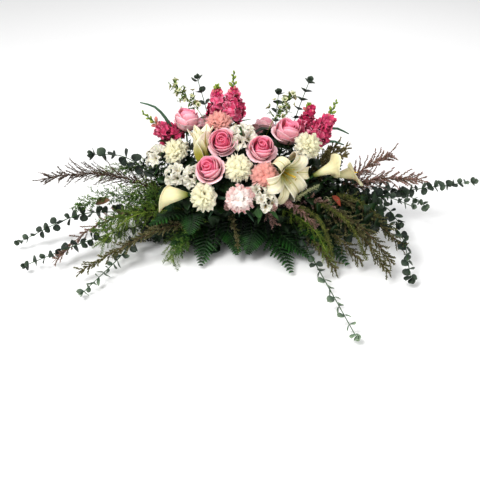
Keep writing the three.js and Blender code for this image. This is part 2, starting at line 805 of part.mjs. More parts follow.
// Saddle: a shallow tray with rounded corners and four flat legs that end in round pads on the surface
function roundedRectangle(length, width, corner) {
  const shape = new THREE.Shape();
  const [x, y] = [length / 2, width / 2];
  shape.moveTo(-x + corner, -y);
  shape.lineTo(x - corner, -y);
  shape.absarc(x - corner, -y + corner, corner, -Math.PI / 2, 0, false);
  shape.lineTo(x, y - corner);
  shape.absarc(x - corner, y - corner, corner, 0, Math.PI / 2, false);
  shape.lineTo(-x + corner, y);
  shape.absarc(-x + corner, y - corner, corner, Math.PI / 2, Math.PI, false);
  shape.lineTo(-x, -y + corner);
  shape.absarc(-x + corner, -y + corner, corner, Math.PI, 1.5 * Math.PI, false);
  return shape;
}

function slab(shape, height, bottom) {
  const options = { depth: height, bevelEnabled: false, curveSegments: 2 };
  return solidOf(new THREE.ExtrudeGeometry(shape, options).translate(0, 0, bottom));
}

function makeSaddle() {
  const outer = slab(roundedRectangle(TRAY.length, TRAY.width, TRAY.corner), TRAY.height, 0);
  const innerShape = roundedRectangle(
    TRAY.length - 2 * TRAY.wall,
    TRAY.width - 2 * TRAY.wall,
    TRAY.corner - TRAY.wall,
  );
  let tray = outer.subtract(slab(innerShape, TRAY.height, TRAY.floor));
  for (const [sx, sy] of [[1, 1], [-1, 1], [1, -1], [-1, -1]]) {
    const reach = TRAY.width / 2 + LEG.reach;
    const bar = new THREE.BoxGeometry(LEG.width, LEG.reach, LEG.thick);
    bar.translate(sx * LEG.along, sy * (reach - LEG.reach / 2 - TRAY.wall / 2), LEG.thick / 2);
    const pad = new THREE.CylinderGeometry(LEG.pad, LEG.pad, LEG.thick, 10).rotateX(Math.PI / 2);
    pad.translate(sx * LEG.along, sy * reach, LEG.thick / 2);
    tray = tray.add(solidOf(bar)).add(solidOf(pad));
  }
  return tray;
}

function bareFoam() {
  const bottom = TRAY.floor + GAP;
  return slab(roundedRectangle(FOAM.length, FOAM.width, FOAM.edge), FOAM.height, bottom);
}

function makeFoam() {
  const block = holes.reduce((left, hole) => left.subtract(hole), bareFoam());
  return largestBody(largestBody(block).simplify(SLIVER));
}

// Anchor tape: a band over the foam, down its sides and against the inside of the tray
function makeTape(x) {
  const inner = { w: FOAM.width / 2 + GAP, top: FOAM_TOP + GAP };
  const outer = { w: inner.w + TAPE.thick, top: inner.top + TAPE.thick };
  const low = TRAY.floor + GAP;
  const outline = [
    [-outer.w, low],
    [-outer.w, outer.top],
    [outer.w, outer.top],
    [outer.w, low],
    [inner.w, low],
    [inner.w, inner.top],
    [-inner.w, inner.top],
    [-inner.w, low],
  ].map(([a, b]) => new THREE.Vector2(a, b));
  const options = { depth: TAPE.width, bevelEnabled: false };
  const band = new THREE.ExtrudeGeometry(new THREE.Shape(outline), options);
  band.rotateX(Math.PI / 2).rotateZ(Math.PI / 2).translate(x - TAPE.width / 2, 0, 0);
  return solidOf(band);
}

plant("saddle_tray", makeSaddle(), FINISH.saddle);
plant("anchor_tape_left", makeTape(-TAPE.along), FINISH.tape);
plant("anchor_tape_right", makeTape(TAPE.along), FINISH.tape);

// Roses
const roses = [
  { at: [-158, 13, 309], faces: [-0.4, -0.1, 0.9] },
  { at: [-66, -85, 290], faces: [-0.1, -0.75, 0.66] },
  { at: [31, -100, 280], faces: [0.05, -0.78, 0.62] },
  { at: [-96, -140, 242], faces: [-0.3, -0.8, 0.5] },
  { at: [99, -6, 283], faces: [0.35, -0.4, 0.85] },
  { at: [-115, 112, 246], faces: [-0.3, 0.7, 0.65] },
  { at: [44, 124, 240], faces: [0.2, 0.75, 0.65] },
];
roses.forEach((rose, i) => flower(`rose_${i + 1}`, FINISH.rosePink, roseHead(37), 24, rose));

// Carnations
const carnations = [
  { at: [-183, -30, 240], faces: [-0.5, -0.6, 0.6], root: [-127, -14, 57] },
  { at: [-27, -129, 240], faces: [-0.1, -0.85, 0.5] },
  { at: [-110, -162, 178], faces: [-0.35, -0.85, 0.3] },
  { at: [148, -48, 264], faces: [0.4, -0.6, 0.7] },
  { at: [-75, -8, 306], faces: [-0.1, -0.4, 0.9], pink: true },
  { at: [44, -92, 210], faces: [0.15, -0.85, 0.5], pink: true },
  { at: [-22, -178, 180], faces: [-0.05, -0.9, 0.4], pink: true },
  { at: [-28, 140, 215], faces: [-0.1, 0.85, 0.5] },
];
carnations.forEach((one, i) => {
  const finish = one.pink ? FINISH.carnationPink : FINISH.carnationWhite;
  flower(`carnation_${i + 1}`, finish, carnationHead(33), 30, one);
});

// Lilies
const lilies = [
  { at: [102, -126, 222], faces: [0.3, -0.85, 0.42], open: 0.85, size: 62 },
  { at: [-130, -50, 268], faces: [-0.15, -0.35, 0.92], open: 0.3, size: 60 },
];
lilies.forEach((lily, i) => {
  const head = lilyHead(lily.size, lily.open);
  flower(`lily_${i + 1}`, FINISH.lilyWhite, head, lily.size * 0.74, { stem: 2.8, ...lily });
});

// Callas
const callas = [
  { at: [-198, -142, 168], faces: [-0.85, -0.5, -0.05], root: [-148, -32, 57] },
  { at: [206, -80, 217], faces: [0.85, -0.3, 0.3] },
  { at: [262, -52, 183], faces: [0.9, -0.25, 0.0] },
];
callas.forEach((calla, i) => {
  flower(`calla_${i + 1}`, FINISH.callaCream, callaHead(88), 42, { stem: 3.4, ...calla });
});

// Snapdragons
const snapdragons = [
  { base: [-84, 45, 296], tip: [-80, 52, 388], whorls: 4, budWhorls: 2, floretSize: 24 },
  { base: [-40, 34, 300], tip: [-38, 44, 425], whorls: 4, budWhorls: 3, floretSize: 24 },
  { base: [147, 40, 248], tip: [158, 52, 338], whorls: 4, budWhorls: 2, floretSize: 24 },
  { base: [176, 6, 252], tip: [224, 30, 352], whorls: 4, budWhorls: 3, floretSize: 24 },
  {
    base: [-186, 24, 250],
    tip: [-272, 40, 318],
    root: [-138, 28, 57],
    whorls: 4,
    budWhorls: 3,
    floretSize: 24,
  },
];
snapdragons.forEach((one, i) => snapdragon(`snapdragon_${i + 1}`, one));

// Alstroemerias
const alstroemerias = [
  { at: [30, -164, 212], faces: [0.1, -0.85, 0.5] },
  { at: [52, -192, 158], faces: [0.2, -0.95, 0.2] },
  { at: [-142, -120, 212], faces: [-0.35, -0.8, 0.45], florets: [1, 0, 1, 1] },
  { at: [-196, -88, 200], faces: [-0.55, -0.7, 0.4], florets: [1, 1, 0, 1] },
  { at: [-252, -26, 230], faces: [-0.7, -0.5, 0.5] },
  { at: [-10, -26, 282], faces: [0, -0.4, 0.9] },
];
alstroemerias.forEach((one, i) => alstroemeria(`alstroemeria_${i + 1}`, one));

// White sprigs
const sprigs = [
  { base: [-130, 60, 318], tip: [-190, 66, 385], whorls: 3 },
  { base: [66, 62, 292], tip: [112, 84, 348], whorls: 3 },
];
sprigs.forEach((one, i) => sprig(`white_sprig_${i + 1}`, one));

// Greens. Their blades also keep clear of the foam.
const foamRoom = bareFoam();
standing.push({ solid: foamRoom, box: foamRoom.boundingBox() });
const low = ROOT.greenLevel;
const eucalyptuses = [
  { root: [-190, -14, low], through: [[-262, -26, 56], [-430, -74, 84], [-602, -122, 24]] },
  {
    root: [-182, -30, low],
    through: [[-250, -66, 54], [-400, -170, 44], [-557, -239, 22]],
    fork: [[-280, -140, 50], [-336, -250, 36], [-395, -354, 20]],
  },
  { root: [-190, 6, 66], through: [[-250, 12, 150], [-330, 18, 206], [-412, 20, 212]], from: 0.5 },
  { root: [190, 4, low], through: [[262, 6, 70], [430, 6, 112], [605, 0, 142]] },
  { root: [184, -28, low], through: [[250, -66, 66], [372, -170, 90], [392, -298, 22]] },
  { root: [96, -30, 60], through: [[110, -96, 80], [168, -300, 50], [232, -528, 20]] },
  {
    root: [80, 34, 60],
    through: [[92, 52, 150], [126, 84, 290], [163, 120, 382]],
    fork: [[84, 66, 180], [74, 92, 270], [80, 104, 352]],
    from: 0.62,
    pairs: 5,
  },
  { root: [-74, 30, 60], through: [[-92, 74, 200], [-112, 92, 310], [-134, 96, 396]], from: 0.66 },
];
eucalyptuses.forEach((one, i) => eucalyptus(`eucalyptus_${i + 1}`, { seed: 40 + i, ...one }));

const ferns = [
  {
    root: [-80, -26, low],
    fronds: [
      [[-92, -92, 60], [-108, -150, 44], [-120, -212, 12]],
      [[-112, -96, 64], [-150, -140, 66], [-196, -176, 50]],
      [[-72, -100, 62], [-44, -146, 56], [-30, -196, 34]],
    ],
  },
  {
    root: [36, -26, low],
    fronds: [
      [[46, -96, 56], [78, -170, 36], [105, -244, 12]],
      [[30, -98, 62], [10, -144, 52], [-2, -186, 30]],
      [[62, -98, 56], [104, -150, 46], [150, -196, 26]],
    ],
  },
  {
    root: [150, -26, low],
    fronds: [
      [[164, -92, 60], [204, -156, 50], [246, -214, 16]],
      [[156, -98, 66], [160, -140, 76], [174, -190, 70]],
    ],
  },
  {
    root: [-136, -44, 68],
    fronds: [
      [[-160, -92, 98], [-196, -140, 116], [-244, -186, 112]],
      [[-147, -108, 104], [-142, -152, 112], [-146, -196, 94]],
    ],
  },
  {
    root: [-60, 26, low],
    fronds: [
      [[-76, 92, 60], [-108, 168, 44], [-140, 244, 12]],
      [[-62, 98, 62], [-28, 150, 56], [-16, 206, 34]],
      [[-88, 98, 68], [-138, 136, 80], [-192, 176, 66]],
    ],
  },
  {
    root: [86, 26, low],
    fronds: [
      [[104, 92, 60], [146, 168, 44], [188, 240, 12]],
      [[92, 98, 62], [66, 150, 56], [54, 206, 34]],
      [[122, 98, 68], [176, 136, 80], [228, 170, 66]],
    ],
  },
];
ferns.forEach((one, i) => fern(`fern_${i + 1}`, one));

const plumes = [
  { root: [-186, -44, 62], through: [[-240, -84, 96], [-300, -140, 108], [-372, -190, 60]], seed: 61 },
  { root: [88, -34, 62], through: [[102, -94, 102], [168, -170, 84], [204, -232, 30]], seed: 62 },
];
plumes.forEach((one, i) => plume(`plume_fern_${i + 1}`, one));

const heathers = [
  { root: [-194, 22, 60], through: [[-262, 26, 110], [-400, 16, 158], [-548, 0, 150]], seed: 71 },
  { root: [-120, -28, low], through: [[-134, -90, 76], [-250, -190, 88], [-420, -280, 30]], seed: 72 },
  { root: [194, 24, 60], through: [[262, 30, 108], [350, 22, 138], [459, 10, 142]], seed: 73 },
  { root: [160, -32, 60], through: [[196, -92, 96], [270, -180, 90], [340, -280, 30]], seed: 74 },
];
heathers.forEach((one, i) => heather(`heather_${i + 1}`, one));

const salals = [
  { root: [-34, -38, 68], through: [[-50, -72, 78], [-112, -76, 79], [-188, -72, 79]], front: 2, seed: 81 },
  { root: [6, -40, 70], through: [[26, -72, 79], [98, -76, 80], [168, -72, 76]], front: 0, seed: 82 },
  {
    root: [150, 38, 68],
    through: [[120, 72, 79], [0, 80, 82], [-176, 72, 79]],
    front: 0,
    seed: 83,
    clusters: 10,
  },
];
salals.forEach((one, i) => salal(`salal_${i + 1}`, one));

plant("foam_block", makeFoam(), FINISH.foam);

spray.name = "casket_spray";
export default spray;
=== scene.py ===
"""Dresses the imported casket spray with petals, leaves, needles, bark and moulded plastic, and lights it.

Every size here is in millimetres, as in the part's source, and Skin.piece turns it into metres. Only the
studio is given in metres.
"""
import logging
import math
from dataclasses import dataclass, replace
from enum import Enum
from typing import ClassVar

import bpy
import numpy as np
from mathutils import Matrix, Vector


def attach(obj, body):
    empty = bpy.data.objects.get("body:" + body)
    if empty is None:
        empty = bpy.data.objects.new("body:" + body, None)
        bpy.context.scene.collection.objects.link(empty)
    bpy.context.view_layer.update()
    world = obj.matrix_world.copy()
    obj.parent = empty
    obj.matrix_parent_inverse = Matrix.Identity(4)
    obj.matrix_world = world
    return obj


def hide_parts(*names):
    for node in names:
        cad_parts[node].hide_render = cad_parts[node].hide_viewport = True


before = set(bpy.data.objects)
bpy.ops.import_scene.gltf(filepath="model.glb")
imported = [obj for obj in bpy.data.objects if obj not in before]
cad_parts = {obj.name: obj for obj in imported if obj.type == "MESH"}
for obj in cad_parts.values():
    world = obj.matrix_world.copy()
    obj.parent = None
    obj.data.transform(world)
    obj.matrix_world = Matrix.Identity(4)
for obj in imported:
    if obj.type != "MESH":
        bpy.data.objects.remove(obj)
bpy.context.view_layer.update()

Array = np.ndarray
Pair = tuple[float, float]
Triple = tuple[float, float, float]
Line = tuple[Triple, ...]
Table = tuple[tuple[float, ...], ...]

log = logging.getLogger("spray")

MM = 0.001
UP = np.array([0.0, 0.0, 1.0])
GOLDEN_TURN = math.pi * (3 - math.sqrt(5))
BODY = "root"
# No vertex lies lower than this over the surface under the spray
LOWEST = 0.4
# Where flower stems may end in the foam, and the stretch along it that the tapes need
FOAM_HALF_X = 209.0
FOAM_HALF_Y = 44.0
FOAM_ROOT = 57.0
TAPE_FROM, TAPE_MIDDLE, TAPE_TO = 98.0, 114.0, 128.0


def linear(hex_colour: str) -> tuple[float, float, float, float]:
    """Turns an sRGB hex colour into linear red, green, blue and alpha.

    Args:
        hex_colour: such as "#e57f9d".

    Returns:
        Four values between 0 and 1.
    """
    values = [int(hex_colour[i : i + 2], 16) / 255 for i in (1, 3, 5)]
    curve = [c / 12.92 if c <= 0.04045 else ((c + 0.055) / 1.055) ** 2.4 for c in values]
    return curve[0], curve[1], curve[2], 1.0


def unit(vectors: Array) -> Array:
    """Scales vectors, in the last axis, to length one."""
    return vectors / np.maximum(np.linalg.norm(vectors, axis=-1, keepdims=True), 1e-9)


def spread(rows: int, columns: int) -> tuple[Array, Array]:
    """Makes the two parameters of a blade.

    Args:
        rows: steps from base to tip.
        columns: steps from one edge to the other.

    Returns:
        v from 0 at the base to 1 at the tip, and u from -1 to 1 across, each (1, rows, columns).
    """
    v, u = np.meshgrid(np.linspace(0, 1, rows), np.linspace(-1, 1, columns), indexing="ij")
    return v[None], u[None]


def blade_points(x: Array, y: Array, z: Array) -> Array:
    """Stacks three arrays that broadcast together into points in the last axis."""
    return np.stack(np.broadcast_arrays(x, y, z), axis=-1)


def turned(out: Array, side: Array | float, level: Array, turn: Array | float) -> Array:
    """Turns points, given as outward, sideways and up, about the upright axis."""
    c, s = np.cos(turn), np.sin(turn)
    return blade_points(out * c - side * s, out * s + side * c, level)


def swing(first: Array, second: Array, angle: Array | float) -> Array:
    """Swings (n, 3) directions toward second ones, square to them, by one angle for each or for all."""
    angle = np.asarray(angle, float).reshape(-1, 1)
    return first * np.cos(angle) + second * np.sin(angle)


def even_turns(count: int) -> Array:
    """Finds even turns round an axis, in radians."""
    return np.arange(count) * 2 * math.pi / count


def ring_of(turn: Array) -> Array:
    """Finds points at turns round a circle of radius one."""
    return np.stack([np.cos(turn), np.sin(turn), np.zeros(len(turn))], -1)


def place(local: Array, origin: Array, across: Array, along: Array, up: Array) -> Array:
    """Sets blades on their own axes.

    Args:
        local: (n or 1, rows, columns, 3) points as across, along and up.
        origin: (n, 3) base of each blade.
        across: (n, 3) direction.
        along: (n, 3) direction.
        up: (n, 3) direction.

    Returns:
        (n, rows, columns, 3) points of the spray.
    """
    axes = np.stack([across, along, up], axis=-2)
    local = np.broadcast_to(local, (len(origin),) + local.shape[1:])
    return np.einsum("nrck,nkj->nrcj", local, axes) + origin[:, None, None, :]


def rings_along(points: Array, radii: Array, sides: int, flat: float = 1.0) -> tuple[Array, Array]:
    """Makes rings square to paths. Each ring is a circle, or an ellipse that is flat times as deep.

    Args:
        points: (n, rows, 3) the paths.
        radii: (n or 1, rows) radius at each point.
        sides: corners of a ring.
        flat: depth of the ring over its width.

    Returns:
        (n, rows, sides, 3) rings and (n, 2, 3) the ends of the paths.
    """
    along = unit(np.gradient(points, axis=1))
    least = np.abs(along).max(axis=1).argmin(axis=1)
    hint = np.eye(3)[least][:, None, :]
    x = unit(np.cross(along, hint))
    y = np.cross(along, x)
    angle = np.linspace(0, 2 * math.pi, sides, endpoint=False)
    round_x, round_y = np.cos(angle)[:, None], flat * np.sin(angle)[:, None]
    circle = round_x * x[:, :, None, :] + round_y * y[:, :, None, :]
    rings = points[:, :, None, :] + np.asarray(radii)[..., None, None] * circle
    return rings, points[:, [0, -1], :]


class Skin:
    """Surfaces gathered into one mesh, with each vertex's place on its own petal or leaf."""

    def __init__(self) -> None:
        """Starts with nothing."""
        self.points: list[Array] = []
        self.places: list[Array] = []
        self.tones: list[Array] = []
        self.quads: list[Array] = []
        self.tris: list[Array] = []
        self.count = 0

    def gather(self, points: Array, where: Array, tone: Array | float, quads: Array, tris: Array) -> None:
        """Adds n surfaces with the same faces.

        Args:
            points: (n, vertices, 3).
            where: (vertices, 2) place across and along the blade, 0 to 1.
            tone: one value between 0 and 1 for each surface, or for all.
            quads: (faces, 4) corners.
            tris: (faces, 3) corners.
        """
        n, each, _ = points.shape
        offsets = (self.count + np.arange(n) * each)[:, None, None]
        self.points.append(points.reshape(-1, 3))
        self.places.append(np.tile(where, (n, 1)))
        self.tones.append(np.repeat(np.broadcast_to(tone, (n,)), each))
        self.quads.append((quads[None] + offsets).reshape(-1, 4))
        self.tris.append((tris[None] + offsets).reshape(-1, 3))
        self.count += n * each

    def sheets(self, points: Array, tone: Array | float = 0.5) -> None:
        """Adds open grids, such as petals.

        Args:
            points: (n, rows, columns, 3) points of n grids.
            tone: one value between 0 and 1 for each grid, or for all.
        """
        n, rows, columns, _ = points.shape
        v, u = np.meshgrid(np.linspace(0, 1, rows), np.linspace(0, 1, columns), indexing="ij")
        cell = np.arange(rows * columns).reshape(rows, columns)
        quads = np.stack([cell[:-1, :-1], cell[:-1, 1:], cell[1:, 1:], cell[1:, :-1]], axis=-1)
        where = np.stack([u.ravel(), v.ravel()], axis=-1)
        self.gather(points.reshape(n, -1, 3), where, tone, quads.reshape(-1, 4), np.zeros((0, 3), int))

    def rods(self, rings: Array, ends: Array, tone: Array | float = 0.5) -> None:
        """Adds closed rods.

        Args:
            rings: (n, rows, sides, 3) points, turning the right-handed way round the rod.
            ends: (n, 2, 3) the points that close each rod.
            tone: one value between 0 and 1 for each rod, or for all.
        """
        n, rows, sides, _ = rings.shape
        cell = np.arange(rows * sides).reshape(rows, sides)
        after = np.roll(cell, -1, axis=1)
        quads = np.stack([cell[:-1], after[:-1], after[1:], cell[1:]], axis=-1).reshape(-1, 4)
        base, tip = np.full(sides, rows * sides), np.full(sides, rows * sides + 1)
        low, high = np.stack([base, after[0], cell[0]], -1), np.stack([cell[-1], after[-1], tip], -1)
        tris = np.concatenate([low, high])
        v, u = np.meshgrid(np.linspace(0, 1, rows), np.arange(sides) / sides, indexing="ij")
        where = np.concatenate([np.stack([u.ravel(), v.ravel()], -1), [[0.5, 0.0], [0.5, 1.0]]])
        points = np.concatenate([rings.reshape(n, -1, 3), ends], axis=1)
        self.gather(points, where, tone, quads, tris)

    def piece(self, name: str, finish: "Growth", node: str, thick: float = 0.0) -> None:
        """Makes the mesh a finished piece that rides on the body.

        What would hang below the surface under the spray lies on it instead.

        Args:
            name: the piece's name.
            finish: what it is dressed in.
            node: the node that it stands for.
            thick: thickness of its open grids.
        """
        points, places = np.concatenate(self.points), np.concatenate(self.places)
        points[:, 2] = np.maximum(points[:, 2], LOWEST)
        quads, tris = np.concatenate(self.quads), np.concatenate(self.tris)
        corners = np.concatenate([quads.ravel(), tris.ravel()])
        starts = np.concatenate([np.arange(len(quads)) * 4, len(quads) * 4 + np.arange(len(tris)) * 3])
        mesh = bpy.data.meshes.new(name)
        mesh.vertices.add(len(points))
        mesh.vertices.foreach_set("co", (points * MM).ravel())
        mesh.loops.add(len(corners))
        mesh.loops.foreach_set("vertex_index", corners)
        mesh.polygons.add(len(starts))
        mesh.polygons.foreach_set("loop_start", starts)
        mesh.polygons.foreach_set("use_smooth", np.ones(len(starts), bool))
        mesh.uv_layers.new(name="place").uv.foreach_set("vector", places[corners].ravel())
        mesh.attributes.new("tone", "FLOAT", "POINT").data.foreach_set("value", np.concatenate(self.tones))
        mesh.update(calc_edges=True)
        made = bpy.data.objects.new(name, mesh)
        bpy.context.scene.collection.objects.link(made)
        mesh.materials.append(finish.material())
        if thick:
            shell = made.modifiers.new("thickness", "SOLIDIFY")
            shell.thickness = thick * MM
            shell.offset = 0.0
        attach(made, BODY)
        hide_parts(node)
        log.info("%s: %d vertices", name, len(points))


class Path:
    """A smooth line whose points are looked up by their share of its length."""

    def __init__(self, points: Array) -> None:
        """Keeps a fine polyline and the way to each of its points.

        Args:
            points: (m, 3) points of the polyline.
        """
        self.points = points
        steps = np.linalg.norm(np.diff(points, axis=0), axis=1)
        self.reach = np.concatenate([[0.0], np.cumsum(steps)])
        self.length = float(self.reach[-1])

    def at(self, shares: Array) -> Array:
        """Points at shares of the length."""
        want = np.asarray(shares, float) * self.length
        return np.stack([np.interp(want, self.reach, self.points[:, k]) for k in range(3)], axis=-1)

    def along(self, shares: Array) -> Array:
        """Directions toward the tip at shares of the length.

        Args:
            shares: shares of the length.

        Returns:
            (n, 3) directions.
        """
        step = 0.01
        shares = np.asarray(shares, float)
        return unit(self.at(np.minimum(shares + step, 1)) - self.at(np.maximum(shares - step, 0)))

    def frames(self, shares: Array, turn: Array | float = 0.0) -> tuple[Array, Array, Array]:
        """Finds directions square to the path.

        Args:
            shares: shares of the length.
            turn: angle round the path, in radians; up starts on the upward side.

        Returns:
            The directions along, right and up.
        """
        along = self.along(shares)
        flat = unit(np.cross(along, UP))
        rise = np.cross(flat, along)
        return along, swing(flat, rise, turn), swing(rise, -flat, turn)

    def spots(self, shares: Array, turn: Array) -> tuple[Array, Array, Array]:
        """Finds points at shares, outward directions at turns round the path, and directions along it."""
        along, right, up = self.frames(shares)
        return self.at(shares), swing(right, up, turn), along


def through(points: Array, steps: int = 24) -> Path:
    """Draws a centripetal Catmull-Rom curve, whose end points are mirrored past the ends.

    Args:
        points: (m, 3) points to pass through.
        steps: polyline steps between two of them.

    Returns:
        The path.
    """
    line = np.vstack([2 * points[0] - points[1], points, 2 * points[-1] - points[-2]])
    share = np.linspace(0, 1, steps, endpoint=False)[:, None]
    pieces = []
    for p0, p1, p2, p3 in zip(line, line[1:], line[2:], line[3:]):
        a, b, c = (math.sqrt(np.linalg.norm(q - p)) for p, q in ((p0, p1), (p1, p2), (p2, p3)))
        leave = ((p1 - p0) / a - (p2 - p0) / (a + b) + (p2 - p1) / b) * b
        arrive = ((p2 - p1) / b - (p3 - p1) / (b + c) + (p3 - p2) / c) * b
        bend = -3 * p1 + 3 * p2 - 2 * leave - arrive
        close = 2 * p1 - 2 * p2 + leave + arrive
        pieces.append(p1 + leave * share + bend * share**2 + close * share**3)
    pieces.append(points[-1:])
    return Path(np.concatenate(pieces))


def green_path(root: Triple, points: tuple[Triple, ...]) -> Path:
    """Runs straight out of the foam toward the first point, then on through the others."""
    start, rest = np.array(root, float), np.array(points, float)
    return through(np.vstack([start, start + (rest[0] - start) * 0.65, rest]))


def stem_path(root: Array, neck: Array, leaving: Array) -> Path:
    """Runs straight out of a hole, then bends to end along a direction.

    Args:
        root: end inside the foam.
        neck: end under the bloom.
        leaving: direction at the neck.

    Returns:
        The path: a straight line and a quadratic curve.
    """
    aim = neck - leaving * 0.38 * np.linalg.norm(neck - root)
    mouth = root + unit(aim - root) * 48.0
    bend = mouth + (aim - mouth) * 0.8
    t = np.linspace(0, 1, 40)[:, None]
    curve = mouth * (1 - t) ** 2 + bend * 2 * t * (1 - t) + neck * t**2
    return Path(np.vstack([root, curve]))


def flower_root(at: Array) -> Array:
    """Finds where a flower's stem ends inside the foam, under its bloom and clear of the tapes.

    Args:
        at: the middle of the bloom, or the foot of its spike.

    Returns:
        The stem's lower end.
    """
    x = min(abs(at[0]) * 0.66, FOAM_HALF_X)
    if TAPE_FROM < x < TAPE_TO:
        x = TAPE_FROM if x < TAPE_MIDDLE else TAPE_TO
    y = min(max(at[1] * 0.2, -FOAM_HALF_Y), FOAM_HALF_Y)
    return np.array([math.copysign(x, at[0]), y, FOAM_ROOT])


def add_node(
    tree: bpy.types.NodeTree, kind: str, inputs: dict | None = None, **settings: object,
) -> bpy.types.Node:
    """Adds a shader node.

    Args:
        tree: the node tree.
        kind: the node's type name.
        inputs: a socket to link or a value to set, by the input's name or number.
        settings: the node's own properties.

    Returns:
        The new node.
    """
    node = tree.nodes.new(kind)
    for key, value in settings.items():
        setattr(node, key, value)
    for key, value in (inputs or {}).items():
        if isinstance(value, bpy.types.NodeSocket):
            tree.links.new(value, node.inputs[key])
        else:
            node.inputs[key].default_value = value
    return node


MIX_FACTOR, MIX_A, MIX_B, MIX_RESULT = 0, 6, 7, 2


@dataclass(frozen=True)
class Growth:
    """A living plant skin.

    Its colour runs from the base of each petal or leaf to the lip. Both are pairs: the colour at tone 0, as
    in the heart of a bloom, and at tone 1, as on its outside. Veins run along the blade, and broad patches
    break the colour up.
    """

    name: str
    slot: str
    base: tuple[str, str]
    lip: tuple[str, str]
    edge: str = "#ffffff"
    edge_width: float = 0.0
    rib: str = "#ffffff"
    rib_width: float = 0.0
    turn_at: Pair = (0.1, 0.9)
    veins: float = 14.0
    vein_depth: float = 0.12
    patch: float = 11.0
    patch_depth: float = 0.16
    rough: float = 0.5
    sheen: float = 0.0
    scatter: float = 0.0
    coat: float = 0.0

    def material(self) -> bpy.types.Material:
        """Makes the material once, and returns it again after that.

        Returns:
            The material.
        """
        if self.name in bpy.data.materials:
            return bpy.data.materials[self.name]
        made = bpy.data.materials.new(self.name)
        made.use_nodes = True
        tree = made.node_tree
        tree.nodes.clear()
        uv = add_node(tree, "ShaderNodeUVMap", uv_map="place")
        split = add_node(tree, "ShaderNodeSeparateXYZ", {0: uv.outputs[0]})
        across, length = split.outputs[0], split.outputs[1]
        tone = add_node(tree, "ShaderNodeAttribute", attribute_name="tone").outputs["Fac"]
        aged = add_node(tree, "ShaderNodeMath", {0: tone, 1: 2.0}, operation="POWER").outputs[0]
        rise = add_node(
            tree, "ShaderNodeMapRange", {0: length, 1: self.turn_at[0], 2: self.turn_at[1]},
            interpolation_type="SMOOTHSTEP",
        ).outputs[0]

        def mix(factor: object, a: object, b: object, blend: str = "MIX") -> bpy.types.NodeSocket:
            """Mixes two colours.

            Args:
                factor: share of the second colour.
                a: the first colour.
                b: the second colour.
                blend: how the second is laid over the first.

            Returns:
                The mixed colour.
            """
            inputs = {MIX_FACTOR: factor, MIX_A: a, MIX_B: b}
            mixed = add_node(tree, "ShaderNodeMix", inputs, data_type="RGBA", blend_type=blend)
            return mixed.outputs[MIX_RESULT]

        young = mix(rise, linear(self.base[0]), linear(self.lip[0]))
        old = mix(rise, linear(self.base[1]), linear(self.lip[1]))
        colour = mix(tone, young, old)
        off = add_node(tree, "ShaderNodeMath", {0: across, 1: 2.0, 2: -1.0}, operation="MULTIPLY_ADD")
        side = add_node(tree, "ShaderNodeMath", {0: off.outputs[0]}, operation="ABSOLUTE").outputs[0]
        # Edge colour, stronger on outer and older blades: the real pale, white or green rims of most
        # finishes, and on the rose a painted highlight along the rolled lips
        if self.edge_width:
            rim = add_node(tree, "ShaderNodeMath", {0: side, 1: length}, operation="MAXIMUM").outputs[0]
            inputs = {0: rim, 1: 1 - self.edge_width, 2: 1.0}
            near = add_node(tree, "ShaderNodeMapRange", inputs, interpolation_type="SMOOTHSTEP").outputs[0]
            near = add_node(tree, "ShaderNodeMath", {0: near, 1: aged}, operation="MULTIPLY").outputs[0]
            colour = mix(near, colour, linear(self.edge))
        if self.rib_width:
            inputs = {0: side, 1: self.rib_width, 2: 0.0}
            near = add_node(tree, "ShaderNodeMapRange", inputs, interpolation_type="SMOOTHSTEP").outputs[0]
            colour = mix(near, colour, linear(self.rib))
        lines = add_node(tree, "ShaderNodeCombineXYZ", {
            0: add_node(tree, "ShaderNodeMath", {0: across, 1: self.veins}, operation="MULTIPLY").outputs[0],
            1: length,
            2: add_node(tree, "ShaderNodeMath", {0: tone, 1: 9.0}, operation="MULTIPLY").outputs[0],
        })
        vein = add_node(tree, "ShaderNodeTexNoise", {
            "Vector": lines.outputs[0], "Scale": 1.0, "Detail": 2.0,
        })
        coords = add_node(tree, "ShaderNodeTexCoord").outputs["Object"]
        patch = add_node(tree, "ShaderNodeTexNoise", {
            "Vector": coords, "Scale": 1 / (self.patch * MM), "Detail": 2.0,
        })
        for noise, depth in ((vein, self.vein_depth), (patch, self.patch_depth)):
            inputs = {0: noise.outputs[0], 1: 0.3, 2: 0.7, 3: 1 - depth, 4: 1 + depth * 0.6}
            shade = add_node(tree, "ShaderNodeMapRange", inputs).outputs[0]
            colour = mix(1.0, colour, shade, "MULTIPLY")
        bump = add_node(tree, "ShaderNodeBump", {
            "Height": vein.outputs[0], "Strength": 0.25, "Distance": 0.4 * MM,
        })
        skin = add_node(tree, "ShaderNodeBsdfPrincipled", {
            "Base Color": colour,
            "Roughness": self.rough,
            "IOR": 1.42,
            "Sheen Weight": self.sheen,
            "Sheen Roughness": 0.4,
            "Subsurface Weight": self.scatter,
            "Subsurface Radius": (1.0, 0.55, 0.4),
            "Subsurface Scale": 3 * MM,
            "Coat Weight": self.coat,
            "Coat Roughness": 0.3,
            "Normal": bump.outputs[0],
        })
        add_node(tree, "ShaderNodeOutputMaterial", {0: skin.outputs[0]})
        return made


# Rose petal: thin velvety cells, clear pink in the heart and washed out to pale lips; the paler rims of the
# outer petals are painted highlight where the rolled lips catch the light
ROSE = Growth(
    "rose_petal_skin", "rose_petal", ("#d25477", "#d2979c"), ("#ec86a2", "#eec6c9"), edge="#f1cad0",
    edge_width=0.07, turn_at=(0.35, 0.95), veins=22, vein_depth=0.06, patch=14, patch_depth=0.12, rough=0.6,
    sheen=0.1, scatter=0.2,
)
